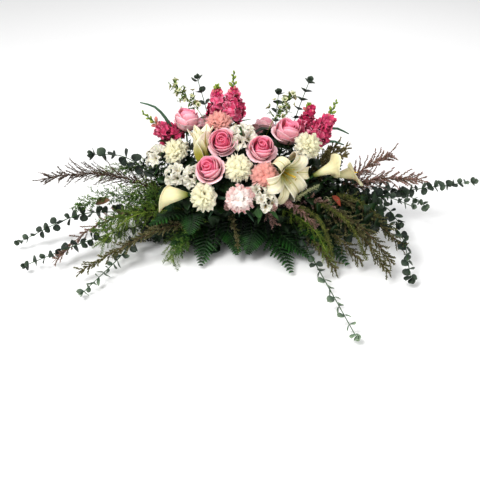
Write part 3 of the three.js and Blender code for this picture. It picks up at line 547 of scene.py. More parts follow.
# Carnation petal: matt crinkled tissue, cream with a greenish claw
CARNATION_WHITE = Growth(
    "carnation_white_skin", "carnation_petal_white", ("#958d5e", "#8f8763"), ("#ded8b6", "#e5dec8"),
    edge="#f4efdf", edge_width=0.1, turn_at=(0.1, 0.75), veins=18, vein_depth=0.08, patch=9,
    patch_depth=0.12, rough=0.8, sheen=0.05, scatter=0.15,
)
# Bicoloured carnation: salmon blades with white frilled edges
CARNATION_PINK = replace(
    CARNATION_WHITE, name="carnation_pink_skin", slot="carnation_petal_pink", base=("#a8534c", "#b0554f"),
    lip=("#dc9c92", "#d98d84"), edge="#f6e9e2", edge_width=0.3, patch_depth=0.15,
)
# Blush carnation: white inside, pink round the outside
CARNATION_BLUSH = replace(
    CARNATION_PINK, name="carnation_blush_skin", base=("#c9958a", "#b04c50"), lip=("#eae0d9", "#d06d70"),
    edge="#f6e2dd", edge_width=0.16, turn_at=(0.1, 0.7), patch_depth=0.2,
)
# Lily petal: thick waxy ivory, yellow green in the throat and along the midrib
LILY = Growth(
    "lily_petal_skin", "lily_petal", ("#8b9022", "#a3a53c"), ("#ddd3ae", "#e8e0c6"), edge="#f5f0e2",
    edge_width=0.25, rib="#bdb57a", rib_width=0.13, turn_at=(0.12, 0.55), veins=16, vein_depth=0.18,
    patch=18, patch_depth=0.1, rough=0.45, scatter=0.2,
)
# Young lily: the outside of a flower that is just opening, yellow green to past its middle
LILY_YOUNG = replace(
    LILY, name="lily_young_skin", base=("#949428", "#a9a440"), lip=("#ebe3c6", "#f0ead4"), edge_width=0.05,
    rib="#a8a64a", rib_width=0.16, turn_at=(0.34, 0.86), vein_depth=0.12,
)
# Calla spathe: smooth waxy cream that turns green toward the neck
CALLA = Growth(
    "calla_spathe_skin", "calla_spathe", ("#6f7a30", "#7d8338"), ("#ded6a8", "#e4ddb8"), edge="#f0e9cc",
    edge_width=0.12, turn_at=(0.0, 0.42), veins=26, vein_depth=0.07, patch=20, patch_depth=0.08, rough=0.4,
    scatter=0.2,
)
# Snapdragon floret: velvet hot pink lips with pale edges over a deeper tube
SNAPDRAGON = Growth(
    "snapdragon_floret_skin", "snapdragon_floret", ("#a11f4e", "#c43e68"), ("#d03067", "#ea7093"),
    edge="#f5aec1", edge_width=0.3, turn_at=(0.2, 0.9), veins=12, vein_depth=0.12, patch=12, patch_depth=0.4,
    rough=0.65, sheen=0.1, scatter=0.15,
)
# Young snapdragon bud: salmon where the colour breaks through the green
BLUSH_BUD = Growth(
    "blush_bud_skin", "snapdragon_floret", ("#a39a55", "#b87268"), ("#d99e82", "#dc7c88"), patch=6,
    patch_depth=0.2, rough=0.6, scatter=0.1,
)
# Alstroemeria petal: white with green tips and a flush of pink at the throat
ALSTROEMERIA = Growth(
    "alstroemeria_petal_skin", "alstroemeria_petal", ("#a3a25c", "#bda58f"), ("#ddd7c6", "#e6e0d8"),
    edge="#c3c996", edge_width=0.1, rib="#bfc38c", rib_width=0.1, turn_at=(0.08, 0.45), veins=12,
    vein_depth=0.25, patch=7, patch_depth=0.2, rough=0.5, scatter=0.15,
)
# White cups of the sprigs: small waxy petals over yellow green
SPRIG_CUP = Growth(
    "sprig_cup_skin", "white_sprig_cup", ("#8a954c", "#9aa25e"), ("#c9cba0", "#dad8bc"), turn_at=(0.1, 0.6),
    rough=0.5, scatter=0.15,
)
# Buds: closed, firm and yellow green
BUD = Growth(
    "green_bud_skin", "green_bud", ("#51701f", "#64832b"), ("#8fa544", "#b3b25e"), rough=0.5, scatter=0.1,
)
# Pollen: dusty golden yellow on the spadix and the stamens
POLLEN = Growth(
    "pollen_skin", "pollen", ("#a8811a", "#b38c20"), ("#cda632", "#d4b242"), patch=2, patch_depth=0.3,
    rough=0.9,
)
# Eucalyptus leaf: a matt grey green blade under a thin waxy bloom, near black low down, pale at some tips
EUCALYPTUS = Growth(
    "eucalyptus_leaf_skin", "eucalyptus_leaf", ("#141f18", "#607862"), ("#1d2b22", "#a2b698"), rib="#46584a",
    rib_width=0.07, edge="#7f9479", edge_width=0.08, veins=9, vein_depth=0.15, patch=13, patch_depth=0.3,
    rough=0.55,
)
# Leatherleaf fern: tough green with a soft gloss; near black low on the frond, which is painted shade where
# the frond lies in the shadow of the blooms
FERN = Growth(
    "fern_leaf_skin", "fern_leaf", ("#061a07", "#153c13"), ("#0b270b", "#3a7829"), rib="#2b6320",
    rib_width=0.12, veins=8, vein_depth=0.2, patch=22, patch_depth=0.45, rough=0.45,
)
# The same fern darkened to near black green: painted shade for the collar fronds deep in the spray's
# shadowed interior
FERN_SHADED = replace(
    FERN, name="shaded_fern_leaf_skin", base=("#030c04", "#061407"), lip=("#06180a", "#0e2e10"), rib="#12300f",
    rib_width=0.1, patch=30, patch_depth=0.6, rough=0.5,
)
# Salal leaf: broad, leathery, glossy on top
SALAL = Growth(
    "salal_leaf_skin", "salal_leaf", ("#0d2009", "#12290c"), ("#142d0e", "#21431a"), rib="#2f5220",
    rib_width=0.05, veins=10, vein_depth=0.25, patch=20, patch_depth=0.35, rough=0.45,
)
# Plume fern: needles as fine as hairs, bright yellow green and matt
PLUME = Growth(
    "plume_needle_skin", "plume_needle", ("#51701f", "#6f8c2c"), ("#8aa63a", "#c8cf66"), patch=24,
    patch_depth=0.4, rough=0.7,
)
# Myrtle: small firm pointed leaves in mid green
MYRTLE = Growth(
    "myrtle_leaf_skin", "plume_needle", ("#3a5f22", "#54782e"), ("#6a9438", "#b0c662"), patch=18,
    patch_depth=0.4, rough=0.5,
)
# Foxtail: stiff olive needles round an arching stem
FOXTAIL = Growth(
    "foxtail_needle_skin", "plume_needle", ("#46521f", "#626b2b"), ("#7b8439", "#b5b062"), patch=14,
    patch_depth=0.35, rough=0.7,
)
# Heather: dry olive leaves that fade to straw at the tips
HEATHER = Growth(
    "heather_leaf_skin", "heather_twig", ("#424623", "#5f6033"), ("#8b8651", "#cdc0a0"), patch=30,
    patch_depth=0.45, rough=0.85,
)
# Heather grown woody: grey mauve
HEATHER_MAUVE = replace(
    HEATHER, name="heather_mauve_skin", base=("#42392c", "#58493c"), lip=("#6f5b50", "#b09590"), patch=26,
)
# Dry heather: tan over olive
HEATHER_TAN = replace(
    HEATHER, name="heather_tan_skin", base=("#6b6238", "#8c8150"), lip=("#a79b67", "#dccfa8"), patch=26,
)
# Heather in flower: mauve pink over olive
HEATHER_PINK = replace(
    HEATHER, name="heather_flower_skin", base=("#75664c", "#96796c"), lip=("#bf8d8d", "#ecc0ca"), patch=26,
    patch_depth=0.4,
)
# Comb fern: pale, dry and grey green
PALE_COMB = Growth(
    "pale_comb_skin", "plume_needle", ("#8f9468", "#a3a67a"), ("#b4b68c", "#d6d4b2"), rough=0.7,
)
# Turned leaf: orange red, as leaves fade
TURNED = Growth(
    "turned_leaf_skin", "salal_leaf", ("#7a3420", "#8c3f28"), ("#a34630", "#bf5a3e"), rib="#c9805c",
    rib_width=0.08, vein_depth=0.2, patch_depth=0.3,
)
# Heather bark: thin woody twigs
BARK = Growth(
    "heather_bark_skin", "heather_twig", ("#4a3828", "#5a4431"), ("#6b5038", "#7d6048"), patch=5,
    patch_depth=0.3, rough=0.85,
)
# Flower stems and their leaves: fleshy mid green
STEM = Growth(
    "flower_stem_skin", "stem", ("#1b3612", "#234017"), ("#24461a", "#315a22"), rib="#3d662b", rib_width=0.1,
    veins=8, vein_depth=0.15, patch=15, patch_depth=0.3, rough=0.5,
)
# Rose leaves: dark, serrated, with a red flush when young
ROSE_LEAF = Growth(
    "rose_leaf_skin", "stem", ("#0f240b", "#142d12"), ("#173511", "#224819"), rib="#2f5522", rib_width=0.08,
    veins=9, vein_depth=0.25, patch=15, patch_depth=0.35, rough=0.45,
)
# Leaves of the white sprigs: olive green
SPRIG_LEAF = Growth(
    "sprig_leaf_skin", "stem", ("#35501f", "#465f2a"), ("#4c6a2a", "#7b8f48"), veins=8, vein_depth=0.15,
    patch=15, patch_depth=0.3, rough=0.5,
)
# Grey green blades of the carnations' leaves and of the loose straps
GLAUCOUS = Growth(
    "glaucous_leaf_skin", "stem", ("#2a4030", "#35503c"), ("#3c5a44", "#54745a"), rib="#66866a",
    rib_width=0.1, veins=8, vein_depth=0.12, patch=15, patch_depth=0.25, rough=0.6,
)


@dataclass(frozen=True)
class LeafForm:
    """A leaf's outline and bend, in shares of its length.

    The half width is width * sin(pi * v^k)^roundness, with k set so that the leaf is widest at `fullest`.
    The tip hangs by droop * v squared, the edges lift by cup * u squared, and waves run along them.
    """

    # Least half width, at the base and the point, as a share of the greatest
    POINT: ClassVar[float] = 0.035

    width: float
    fullest: float = 0.42
    roundness: float = 0.8
    droop: float = 0.15
    cup: float = 0.12
    wave: float = 0.03
    stalk: float = 0.0
    teeth: float = 0.0
    rows: int = 7
    columns: int = 5

    def sheet(self, count: int, draw: np.random.Generator) -> Array:
        """Makes leaves of length one.

        Args:
            count: how many.
            draw: random draws, for the waves and the bend of each.

        Returns:
            (count, rows, columns, 3) points.
        """
        v, u = spread(self.rows, self.columns)
        power = math.log(0.5) / math.log(self.fullest)
        half = self.width * np.maximum(np.sin(math.pi * v**power), 0.0) ** self.roundness
        half = np.maximum(half, self.POINT * self.width)
        ragged = np.where(np.arange(self.rows)[None, :, None] % 2 == 1, 1 + self.teeth, 1 - self.teeth)
        phase = draw.uniform(0, 2 * math.pi, (count, 1, 1))
        bend = self.droop * draw.uniform(0.4, 1.6, (count, 1, 1))
        lift = self.cup * half * u**2 + self.wave * np.sin(7 * v + phase) * np.abs(u) * np.sin(math.pi * v)
        return blade_points(u * half * ragged, self.stalk + (1 - self.stalk) * v, lift - bend * v**2)


ROUND_LEAF = LeafForm(0.5, 0.5, 0.55, 0.06, 0.25, 0.02, stalk=0.06)
OVAL_LEAF = LeafForm(0.3, 0.5, 0.65, 0.1, 0.25, 0.02, stalk=0.06, rows=6, columns=3)
BROAD_LEAF = LeafForm(0.3, 0.42, 0.75, 0.12, 0.3, 0.03, stalk=0.08, rows=8)
SHOOT_LEAF = replace(BROAD_LEAF, rows=6, columns=3)
ROSE_LEAFLET = LeafForm(0.31, 0.45, 0.7, 0.12, 0.25, 0.03, teeth=0.06, rows=8, columns=3)
STRAP_LEAF = LeafForm(0.08, 0.35, 0.6, 0.30, 0.3, 0.02, columns=3)
LANCE_LEAF = LeafForm(0.13, 0.4, 0.8, 0.22, 0.3, 0.03, columns=3)


def leaves(
    skin: Skin, form: LeafForm, at: Array, grow: Array, face: Array, sizes: Array, draw: np.random.Generator,
    tone: Array | float | None = None,
) -> None:
    """Adds leaves to a skin.

    Args:
        skin: takes the leaves.
        form: their outline.
        at: (n, 3) base of each.
        grow: (n, 3) the way that each grows.
        face: (n, 3) roughly the way that each looks.
        sizes: (n,) lengths.
        draw: random draws.
        tone: which colours each takes, from 0 to 1, or None for a random tone.
    """
    along = unit(grow)
    across = unit(np.cross(along, face))
    local = form.sheet(len(at), draw) * np.asarray(sizes)[:, None, None, None]
    old = draw.uniform(0, 1, len(at)) if tone is None else tone
    skin.sheets(place(local, at, across, along, np.cross(across, along)), old)


def needles(skin: Skin, at: Array, tip: Array, radius: Array | float, tone: Array | float = 0.5) -> None:
    """Adds slim closed needles with three sides, thickest at two fifths.

    Args:
        skin: takes the needles.
        at: (n, 3) bases.
        tip: (n, 3) tips.
        radius: the greatest, of each or of all.
        tone: which colours each takes, from 0 to 1, or one for all.
    """
    middle = at + (tip - at) * 0.4
    line = np.stack([at, middle, tip], axis=1)
    radii = np.broadcast_to(np.asarray(radius, float), (len(at),))[:, None] * np.array([[0.4, 1.0, 0.1]])
    rings, _ = rings_along(line, radii, 3)
    skin.rods(rings[:, 1:2], np.stack([at, tip], axis=1), tone)


def bodies(
    skin: Skin, at: Array, grow: Array, sizes: Array, levels: tuple[float, ...], radii: tuple[float, ...],
    sides: int, tone: Array | float = 0.5,
) -> None:
    """Adds closed bodies that are round about an axis.

    Args:
        skin: takes the bodies.
        at: (n, 3) start of each axis.
        grow: (n, 3) its direction.
        sizes: (n,) size of each body.
        levels: places along the axis, as shares of the size.
        radii: radius at each place, as a share of the size.
        sides: corners round the axis.
        tone: which colours each takes, from 0 to 1, or one for all.
    """
    sizes = np.asarray(sizes, float)[:, None]
    line = at[:, None] + grow[:, None] * (sizes * np.array([levels]))[..., None]
    rings, ends = rings_along(line, sizes * np.array([radii]), sides)
    skin.rods(rings, ends, tone)


def rod(skin: Skin, path: Path, radii: Array, sides: int = 6, start: float = 0.0, stop: float = 1.0) -> None:
    """Adds one closed rod along part of a path, with a radius for each ring.

    Args:
        skin: takes the rod.
        path: its middle line.
        radii: radius of each ring.
        sides: corners of a ring.
        start: share of the path where it starts.
        stop: share of the path where it ends.
    """
    points = path.at(np.linspace(start, stop, len(radii)))[None]
    rings, ends = rings_along(points, np.asarray(radii)[None], sides)
    skin.rods(rings, ends)


@dataclass
class Bloom:
    """A cut flower: a bloom at the end of a stem that stands in the foam."""

    # Past this x, a facing is too close to the spray's length to be crossed with it
    NEARLY_ALONG: ClassVar[float] = 0.98

    name: str
    at: Triple
    faces: Triple
    root: Triple | None = None
    size: float = 37.0
    neck_below: float = 24.0
    stem: float = 2.4
    seed: int = 1

    def __post_init__(self) -> None:
        """Works out the stem's path and the bloom's axes."""
        self.draw = np.random.default_rng(self.seed)
        self.centre = np.array(self.at, float)
        self.facing = unit(np.array(self.faces, float))
        root = np.array(self.root, float) if self.root else flower_root(self.centre)
        self.path = stem_path(root, self.centre - self.facing * self.neck_below, self.facing)
        faces_along = abs(self.facing[0]) > self.NEARLY_ALONG
        side = unit(np.cross(self.facing, np.eye(3)[1 if faces_along else 0]))
        self.axes = np.stack([np.cross(side, self.facing), side, self.facing])

    def world(self, local: Array) -> Array:
        """Moves points from the bloom's own axes, in shares of its size, to the spray's."""
        return local * self.size @ self.axes + self.centre

    def stem_skin(self, sides: int = 6) -> Skin:
        """Builds the stem, a little slimmer at the neck.

        Args:
            sides: corners of a ring.

        Returns:
            The stem.
        """
        skin = Skin()
        rod(skin, self.path, self.stem * np.linspace(1.0, 0.85, 14), sides)
        return skin

    def add_body(
        self, skin: Skin, levels: tuple[float, ...], radii: tuple[float, ...], sides: int = 8,
        tone: float = 0.5,
    ) -> None:
        """Adds a closed body round the bloom's axis, with places and radii in shares of its size."""
        bodies(skin, self.centre[None], self.facing[None], [self.size], levels, radii, sides, tone)

    def stem_spots(self, count: int, low: float, high: float) -> tuple[Array, Array, Array]:
        """Finds where leaves leave the stem.

        Args:
            count: how many.
            low: first share of the stem.
            high: last share of the stem.

        Returns:
            (n, 3) points, outward directions and directions along the stem.
        """
        shares = np.linspace(low, high, count)
        turn = np.arange(count) * GOLDEN_TURN + self.draw.uniform(0, 6)
        along = self.path.along(shares)
        flat = unit(np.cross(along, np.array([1.0, 0.2, 0.0])))
        return self.path.at(shares), swing(flat, np.cross(along, flat), turn), along

    def stem_leaves(self, form: LeafForm, count: int, reach: Pair, lean: float, sizes: Pair) -> Skin:
        """Builds leaves round the stem.

        Args:
            form: their outline.
            count: how many.
            reach: first and last share of the stem.
            lean: how much they lean up the stem.
            sizes: least and greatest length.

        Returns:
            The leaves.
        """
        skin = Skin()
        at, out, along = self.stem_spots(count, *reach)
        leaves(skin, form, at, out + along * lean, along, self.draw.uniform(*sizes, count), self.draw)
        return skin


class Rose(Bloom):
    """A standard rose: a spiral heart inside rounds of cupped petals whose lips roll back."""

    # For each round: count, radius and height of the lip, half angle, roll of the lip, tuck of one side
    ROUNDS: ClassVar[Table] = (
        (5, 1.04, 0.02, 0.80, 0.36, 0.05),
        (4, 0.84, 0.42, 0.95, 0.18, 0.08),
        (4, 0.69, 0.66, 1.05, 0.09, 0.10),
        (3, 0.55, 0.78, 1.30, 0.05, 0.16),
    )
    HEART_TURNS: ClassVar[float] = 2.3
    SEPALS: ClassVar[int] = 5
    SEPAL_LENGTH: ClassVar[float] = 22.0
    LEAF_RIB: ClassVar[float] = 44.0
    # For each leaflet: its place along the leaf's rib and the side that it grows to
    LEAFLETS: ClassVar[Table] = ((0.45, 1), (0.45, -1), (0.78, 1), (0.78, -1), (1.0, 0))

    def petals(self) -> Skin:
        """Builds the petals.

        A petal's profile is a quadratic curve from the base out to the belly and up to the lip, carried
        through an angle round the axis. Its top is rounded with a slight point, its lip rolls back, its
        edges stand off the round and one side tucks in.

        Returns:
            The petals and the heart.
        """
        skin = Skin()
        v, u = spread(10, 9)
        for k, (count, rim, height, half, roll, tuck) in enumerate(self.ROUNDS):
            shape = (count, 1, 1)
            draw = self.draw.uniform
            turn = even_turns(count).reshape(shape) + k * 0.9 + draw(-0.16, 0.16, shape)
            high = height + draw(-0.05, 0.05, shape)
            rise = v * (1 - 0.22 * np.abs(u) ** 2.5)
            lip = np.clip((rise - 0.62) / 0.38, 0, 1) ** 2
            reach = (rim - roll) * draw(0.95, 1.06, shape)
            belly = 2 * rise * (1 - rise)
            radius = (1 - rise) ** 2 * 0.08 + belly * (reach * 0.95 + 0.24) + rise**2 * reach
            level = (1 - rise) ** 2 * -0.74 + belly * (-0.6 + 0.3 * (1 - rim))
            level = level + rise**2 * (high + roll * 0.5)
            fold = roll * lip * (1 + 0.5 * np.abs(u) ** 2) * draw(0.75, 1.2, shape)
            radius = (radius + fold) * (1 + (tuck * u + 0.08 * u**2) * rise)
            level = level - 0.8 * fold + 0.02 * np.sin(4 * u + turn) * rise
            angle = turn + half * u * (0.45 + 0.55 * np.sqrt(rise))
            tone = np.clip(1 - k / len(self.ROUNDS) + draw(-0.08, 0.08, count), 0, 1)
            skin.sheets(self.world(turned(radius, 0.0, level, angle)), tone)
        self.add_heart(skin)
        return skin

    def add_heart(self, skin: Skin) -> None:
        """Adds the closed core, and round it one sheet wound in a spiral that rises to its middle.

        Args:
            skin: takes the heart.
        """
        levels = (-0.5, 0.0, 0.20, 0.33, 0.41, 0.44)
        self.add_body(skin, levels, (0.15, 0.42, 0.50, 0.40, 0.24, 0.08), 14, 0.0)
        wind = np.linspace(0, 1, 72)[None, None, :]
        v = np.linspace(0, 1, 5)[None, :, None]
        rim = 0.41 * (1 - wind) ** 0.85 + 0.03
        angle = wind * self.HEART_TURNS * 2 * math.pi + self.draw.uniform(0, 6)
        radius = rim * (0.72 + 0.28 * v) * (1 + 0.13 * np.sin(angle * 1.6))
        level = 0.1 + (0.66 + 0.08 * np.sin(angle * 0.8)) * v
        skin.sheets(self.world(turned(radius, 0.0, level, angle)), 0.06)

    def greens(self) -> Skin:
        """Builds the stem and the hip.

        Returns:
            The stem and the hip.
        """
        skin = self.stem_skin()
        self.add_body(skin, (-0.90, -0.84, -0.74, -0.64), (0.06, 0.13, 0.17, 0.15))
        return skin

    def leaf_skin(self) -> Skin:
        """Builds the sepals, and compound leaves of five leaflets.

        Returns:
            The sepals and the leaves.
        """
        skin = Skin()
        ring = ring_of(even_turns(self.SEPALS))
        base = self.world(ring * 0.14 + np.array([0, 0, -0.66]))
        sepals = np.full(self.SEPALS, self.SEPAL_LENGTH)
        leaves(skin, LANCE_LEAF, base, ring @ self.axes - self.facing * 0.25, self.facing, sepals, self.draw)
        at, out, along = self.stem_spots(5, 0.5, 0.93)
        rib = unit(out + along * 0.35)
        tips = at + rib * self.LEAF_RIB
        needles(skin, at, tips, 0.8)
        for share, sideways in self.LEAFLETS:
            spot = at + (tips - at) * share
            normal = unit(np.cross(rib, np.cross(along, rib)))
            grow = rib + np.cross(rib, normal) * sideways * 1.1
            size = self.draw.uniform(28, 38, len(at))
            leaves(skin, ROSE_LEAFLET, spot, grow, normal, size, self.draw)
        return skin

    def build(self) -> None:
        """Makes the rose's pieces."""
        self.petals().piece(f"{self.name}_petals", ROSE, self.name, 0.5)
        self.greens().piece(f"{self.name}_stem", STEM, self.name)
        self.leaf_skin().piece(f"{self.name}_leaves", ROSE_LEAF, self.name, 0.4)


@dataclass
class Carnation(Bloom):
    """A standard carnation: a dome of frilled petals that fan out of a long calyx."""

    # Angle from the axis to the outermost petals, in radians
    WIDEST: ClassVar[float] = 1.85
    PETALS: ClassVar[int] = 44

    size: float = 33.0
    neck_below: float = 30.0
    finish: Growth = CARNATION_WHITE

    def petals(self) -> Skin:
        """Builds the petals.

        A petal's middle line is a quadratic curve that rises out of the calyx and flops outward along the
        dome. It fans out on both sides, waves that grow with the square of the height ruffle it square to
        its surface, and its tip is cut in teeth.

        Returns:
            The petals.
        """
        skin = Skin()
        v, u = spread(6, 9)
        shape = (self.PETALS, 1, 1)
        draw = self.draw.uniform
        order = np.arange(self.PETALS).reshape(shape)
        share = (order + 0.5) / self.PETALS
        polar = np.arccos(1 - share * (1 - math.cos(self.WIDEST))) + draw(-0.08, 0.08, shape)
        turn = order * GOLDEN_TURN + draw(-0.2, 0.2, shape)
        reach = draw(0.80, 1.08, shape)
        teeth = 0.025 * (-1.0) ** np.arange(9)
        t = v * (1 - 0.10 * u**2) + teeth * v**4
        before, after = polar - 0.62, polar + draw(0.05, 0.3, shape)
        knee_out, knee_up = 0.9 * reach * np.sin(before), 0.04 + 0.84 * reach * np.cos(before)
        tip_out, tip_up = reach * np.sin(after), 0.04 + 0.80 * reach * np.cos(after)
        out = (1 - t) ** 2 * 0.05 + 2 * t * (1 - t) * knee_out + t**2 * tip_out
        lift = (1 - t) ** 2 * -0.66 + 2 * t * (1 - t) * knee_up + t**2 * tip_up
        slope_out = (1 - t) * (knee_out - 0.05) + t * (tip_out - knee_out)
        slope_up = (1 - t) * (knee_up + 0.66) + t * (tip_up - knee_up)
        size = np.hypot(slope_out, slope_up) + 1e-6
        broad = 0.15 * np.sin(4.6 * u + draw(0, 6.3, shape))
        fine = 0.08 * np.sin(9 * u + 6 * t + draw(0, 6.3, shape))
        ruffle = t**2 * (broad + fine)
        out = out - ruffle * slope_up / size
        lift = lift + ruffle * slope_out / size
        side = u * (0.07 + 0.56 * t**1.3) * draw(0.75, 1.15, shape)
        skin.sheets(self.world(turned(out, side, lift, turn)), share.ravel())
        return skin

    def greens(self) -> Skin:
        """Builds the stem and the calyx.

        Returns:
            The stem and the calyx.
        """
        skin = self.stem_skin()
        self.add_body(skin, (-1.0, -0.9, -0.6, -0.38), (0.09, 0.17, 0.2, 0.23))
        return skin

    def leaf_skin(self) -> Skin:
        """Builds narrow leaves that curl away from the stem."""
        return self.stem_leaves(STRAP_LEAF, 8, (0.4, 0.92), 0.8, (45, 65))

    def build(self) -> None:
        """Makes the carnation's pieces."""
        self.petals().piece(f"{self.name}_petals", self.finish, self.name, 0.45)
        self.greens().piece(f"{self.name}_stem", STEM, self.name)
        self.leaf_skin().piece(f"{self.name}_leaves", GLAUCOUS, self.name, 0.5)


@dataclass
class Lily(Bloom):
    """A lily: two rounds of three petals.

    `open_share` runs from a trumpet, 0, to curled back, 1. `tall` stretches the flower along its axis, and
    `sag` is how far its own weight draws the tips down, as a share of its size.
    """

    size: float = 62.0
    stem: float = 2.8
    open_share: float = 0.85
    tall: float = 1.0
    sag: float = 0.1
    finish: Growth = LILY

    def petals(self) -> Skin:
        """Builds the petals.

        The middle line runs up the tube, out and back at the tip, through points whose radius and height
        depend on how open the flower is. Across it the petal is a shallow gutter with wavy edges, and its
        own weight draws the tip down.

        Returns:
            The petals.
        """
        skin = Skin()
        v, u = spread(15, 9)
        k = self.open_share
        radii = np.array([0.05, 0.15, 0.25 + 0.35 * k, 0.34 + 0.62 * k, 0.44 + 0.70 * k, 0.46 + 0.46 * k])
        levels = np.array([-0.74, -0.34, 0.06, 0.36 - 0.22 * k, 0.54 - 0.62 * k, 0.64 - 1.40 * k])
        levels = levels * self.tall
        line = through(np.stack([radii, np.zeros(6), levels], -1)).at(np.linspace(0, 1, 15))
        radius, level = line[None, :, 0:1], line[None, :, 2:3]
        slope = unit(np.gradient(line, axis=0))
        for layer, (width, push) in enumerate(((0.27, 0.0), (0.40, -0.02))):
            turn = (even_turns(3) + layer * math.pi / 3).reshape(3, 1, 1)
            half = width * np.sin(math.pi * v**1.05) ** 0.85 + 0.035 * (1 - v)
            gutter = 0.6 * half * u**2 * (1 - 0.7 * v) + 0.05 * np.sin(9 * v + turn * 3) * np.abs(u) * v
            out = radius + gutter * -slope[None, :, 2:3] + push
            lift = level + gutter * slope[None, :, 0:1]
            hung = UP * (self.size * self.sag * v**3)[..., None]
            skin.sheets(self.world(turned(out, u * half, lift, turn)) - hung, 0.3 + 0.5 * layer)
        return skin

    def heart(self) -> Skin:
        """Builds the pistil and the six filaments with their anthers.

        Returns:
            The pistil, the filaments and the anthers.
        """
        skin = Skin()
        turn = even_turns(6) + 0.3
        ring = ring_of(turn)
        tall = 0.22 + 0.1 * (1 - self.open_share) * self.tall
        base, tip = ring * 0.04 + [0, 0, -0.5], ring * 0.3 + [0, 0, tall]
        needles(skin, self.world(base), self.world(tip), 1.0, 0.2)
        across = ring_of(turn + math.pi / 2)
        needles(skin, self.world(tip - across * 0.07), self.world(tip + across * 0.07), 1.6, 1.0)
        pistil = self.world(np.array([[0, 0, -0.5], [0.02, 0, 0.0], [0.05, 0, 0.38]]))
        rings, ends = rings_along(pistil[None], np.array([[1.6, 1.2, 2.2]]), 6)
        skin.rods(rings, ends, 0.6)
        return skin

    def leaf_skin(self) -> Skin:
        """Builds lance leaves round the stem."""
        return self.stem_leaves(LANCE_LEAF, 9, (0.35, 0.9), 0.5, (50, 72))

    def build(self) -> None:
        """Makes the lily's pieces."""
        self.petals().piece(f"{self.name}_petals", self.finish, self.name, 0.7)
        self.heart().piece(f"{self.name}_stamens", POLLEN, self.name)
        self.stem_skin().piece(f"{self.name}_stem", STEM, self.name)
        self.leaf_skin().piece(f"{self.name}_leaves", STEM, self.name, 0.5)


@dataclass
class Calla(Bloom):
    """A calla: one rolled spathe with a flared lip drawn out to a point, and the spadix inside.

    `twist` turns the point about the axis, and `full` runs from a slim spathe, 0, to a wide low one, 1.
    """

    size: float = 92.0
    neck_below: float = 42.0
    stem: float = 3.4
    twist: float = 0.0
    full: float = 0.0

    def spathe(self) -> Skin:
        """Builds the spathe.

        Its profile widens from the neck to the lip. Round the axis the lip is high and drawn out at the
        front, low at the back where the two edges overlap, and rolled outward.

        Returns:
            The spathe.
        """
        skin = Skin()
        v, u = spread(20, 33)
        angle = u * math.pi * 1.06
        gap = 1 - np.abs(np.cos(angle / 2))
        knots = [0.0, 0.3, 0.62, 1.0]
        radii = [0.05, 0.1 + 0.05 * self.full, 0.17 + 0.06 * self.full, 0.31 - 0.02 * self.full]
        levels = [-0.5, -0.24, 0.04, 0.26]
        radius = np.interp(v, knots, radii) * (1 - 0.22 * gap * v**2) * (1 + 0.05 * u)
        level = np.interp(v, knots, levels) - 0.30 * gap * v**2
        lip = np.clip((v - 0.72) / 0.28, 0, 1) ** 2
        radius = radius + 0.05 * lip * (1 - 0.4 * gap)
        level = level - 0.035 * lip
        x, y = radius * np.cos(angle), radius * np.sin(angle)
        reach = np.maximum(0, x - 0.2)
        level = level + reach**2 * (5.4 - 3.6 * self.full)
        x = x + reach * 0.6
        skin.sheets(self.world(turned(x, y, level, self.twist)))
        return skin

    def spadix(self) -> Skin:
        """Builds the spadix, a slim club.

        Returns:
            The spadix.
        """
        skin = Skin()
        levels = tuple(np.linspace(-0.26, 0.22, 9))
        self.add_body(skin, levels, (0.02, 0.03, 0.034, 0.034, 0.033, 0.031, 0.028, 0.022, 0.01), 10)
        return skin

    def build(self) -> None:
        """Makes the calla's pieces."""
        self.spathe().piece(f"{self.name}_spathe", CALLA, self.name, 0.9)
        self.spadix().piece(f"{self.name}_spadix", POLLEN, self.name)
        self.stem_skin(8).piece(f"{self.name}_stem", STEM, self.name)


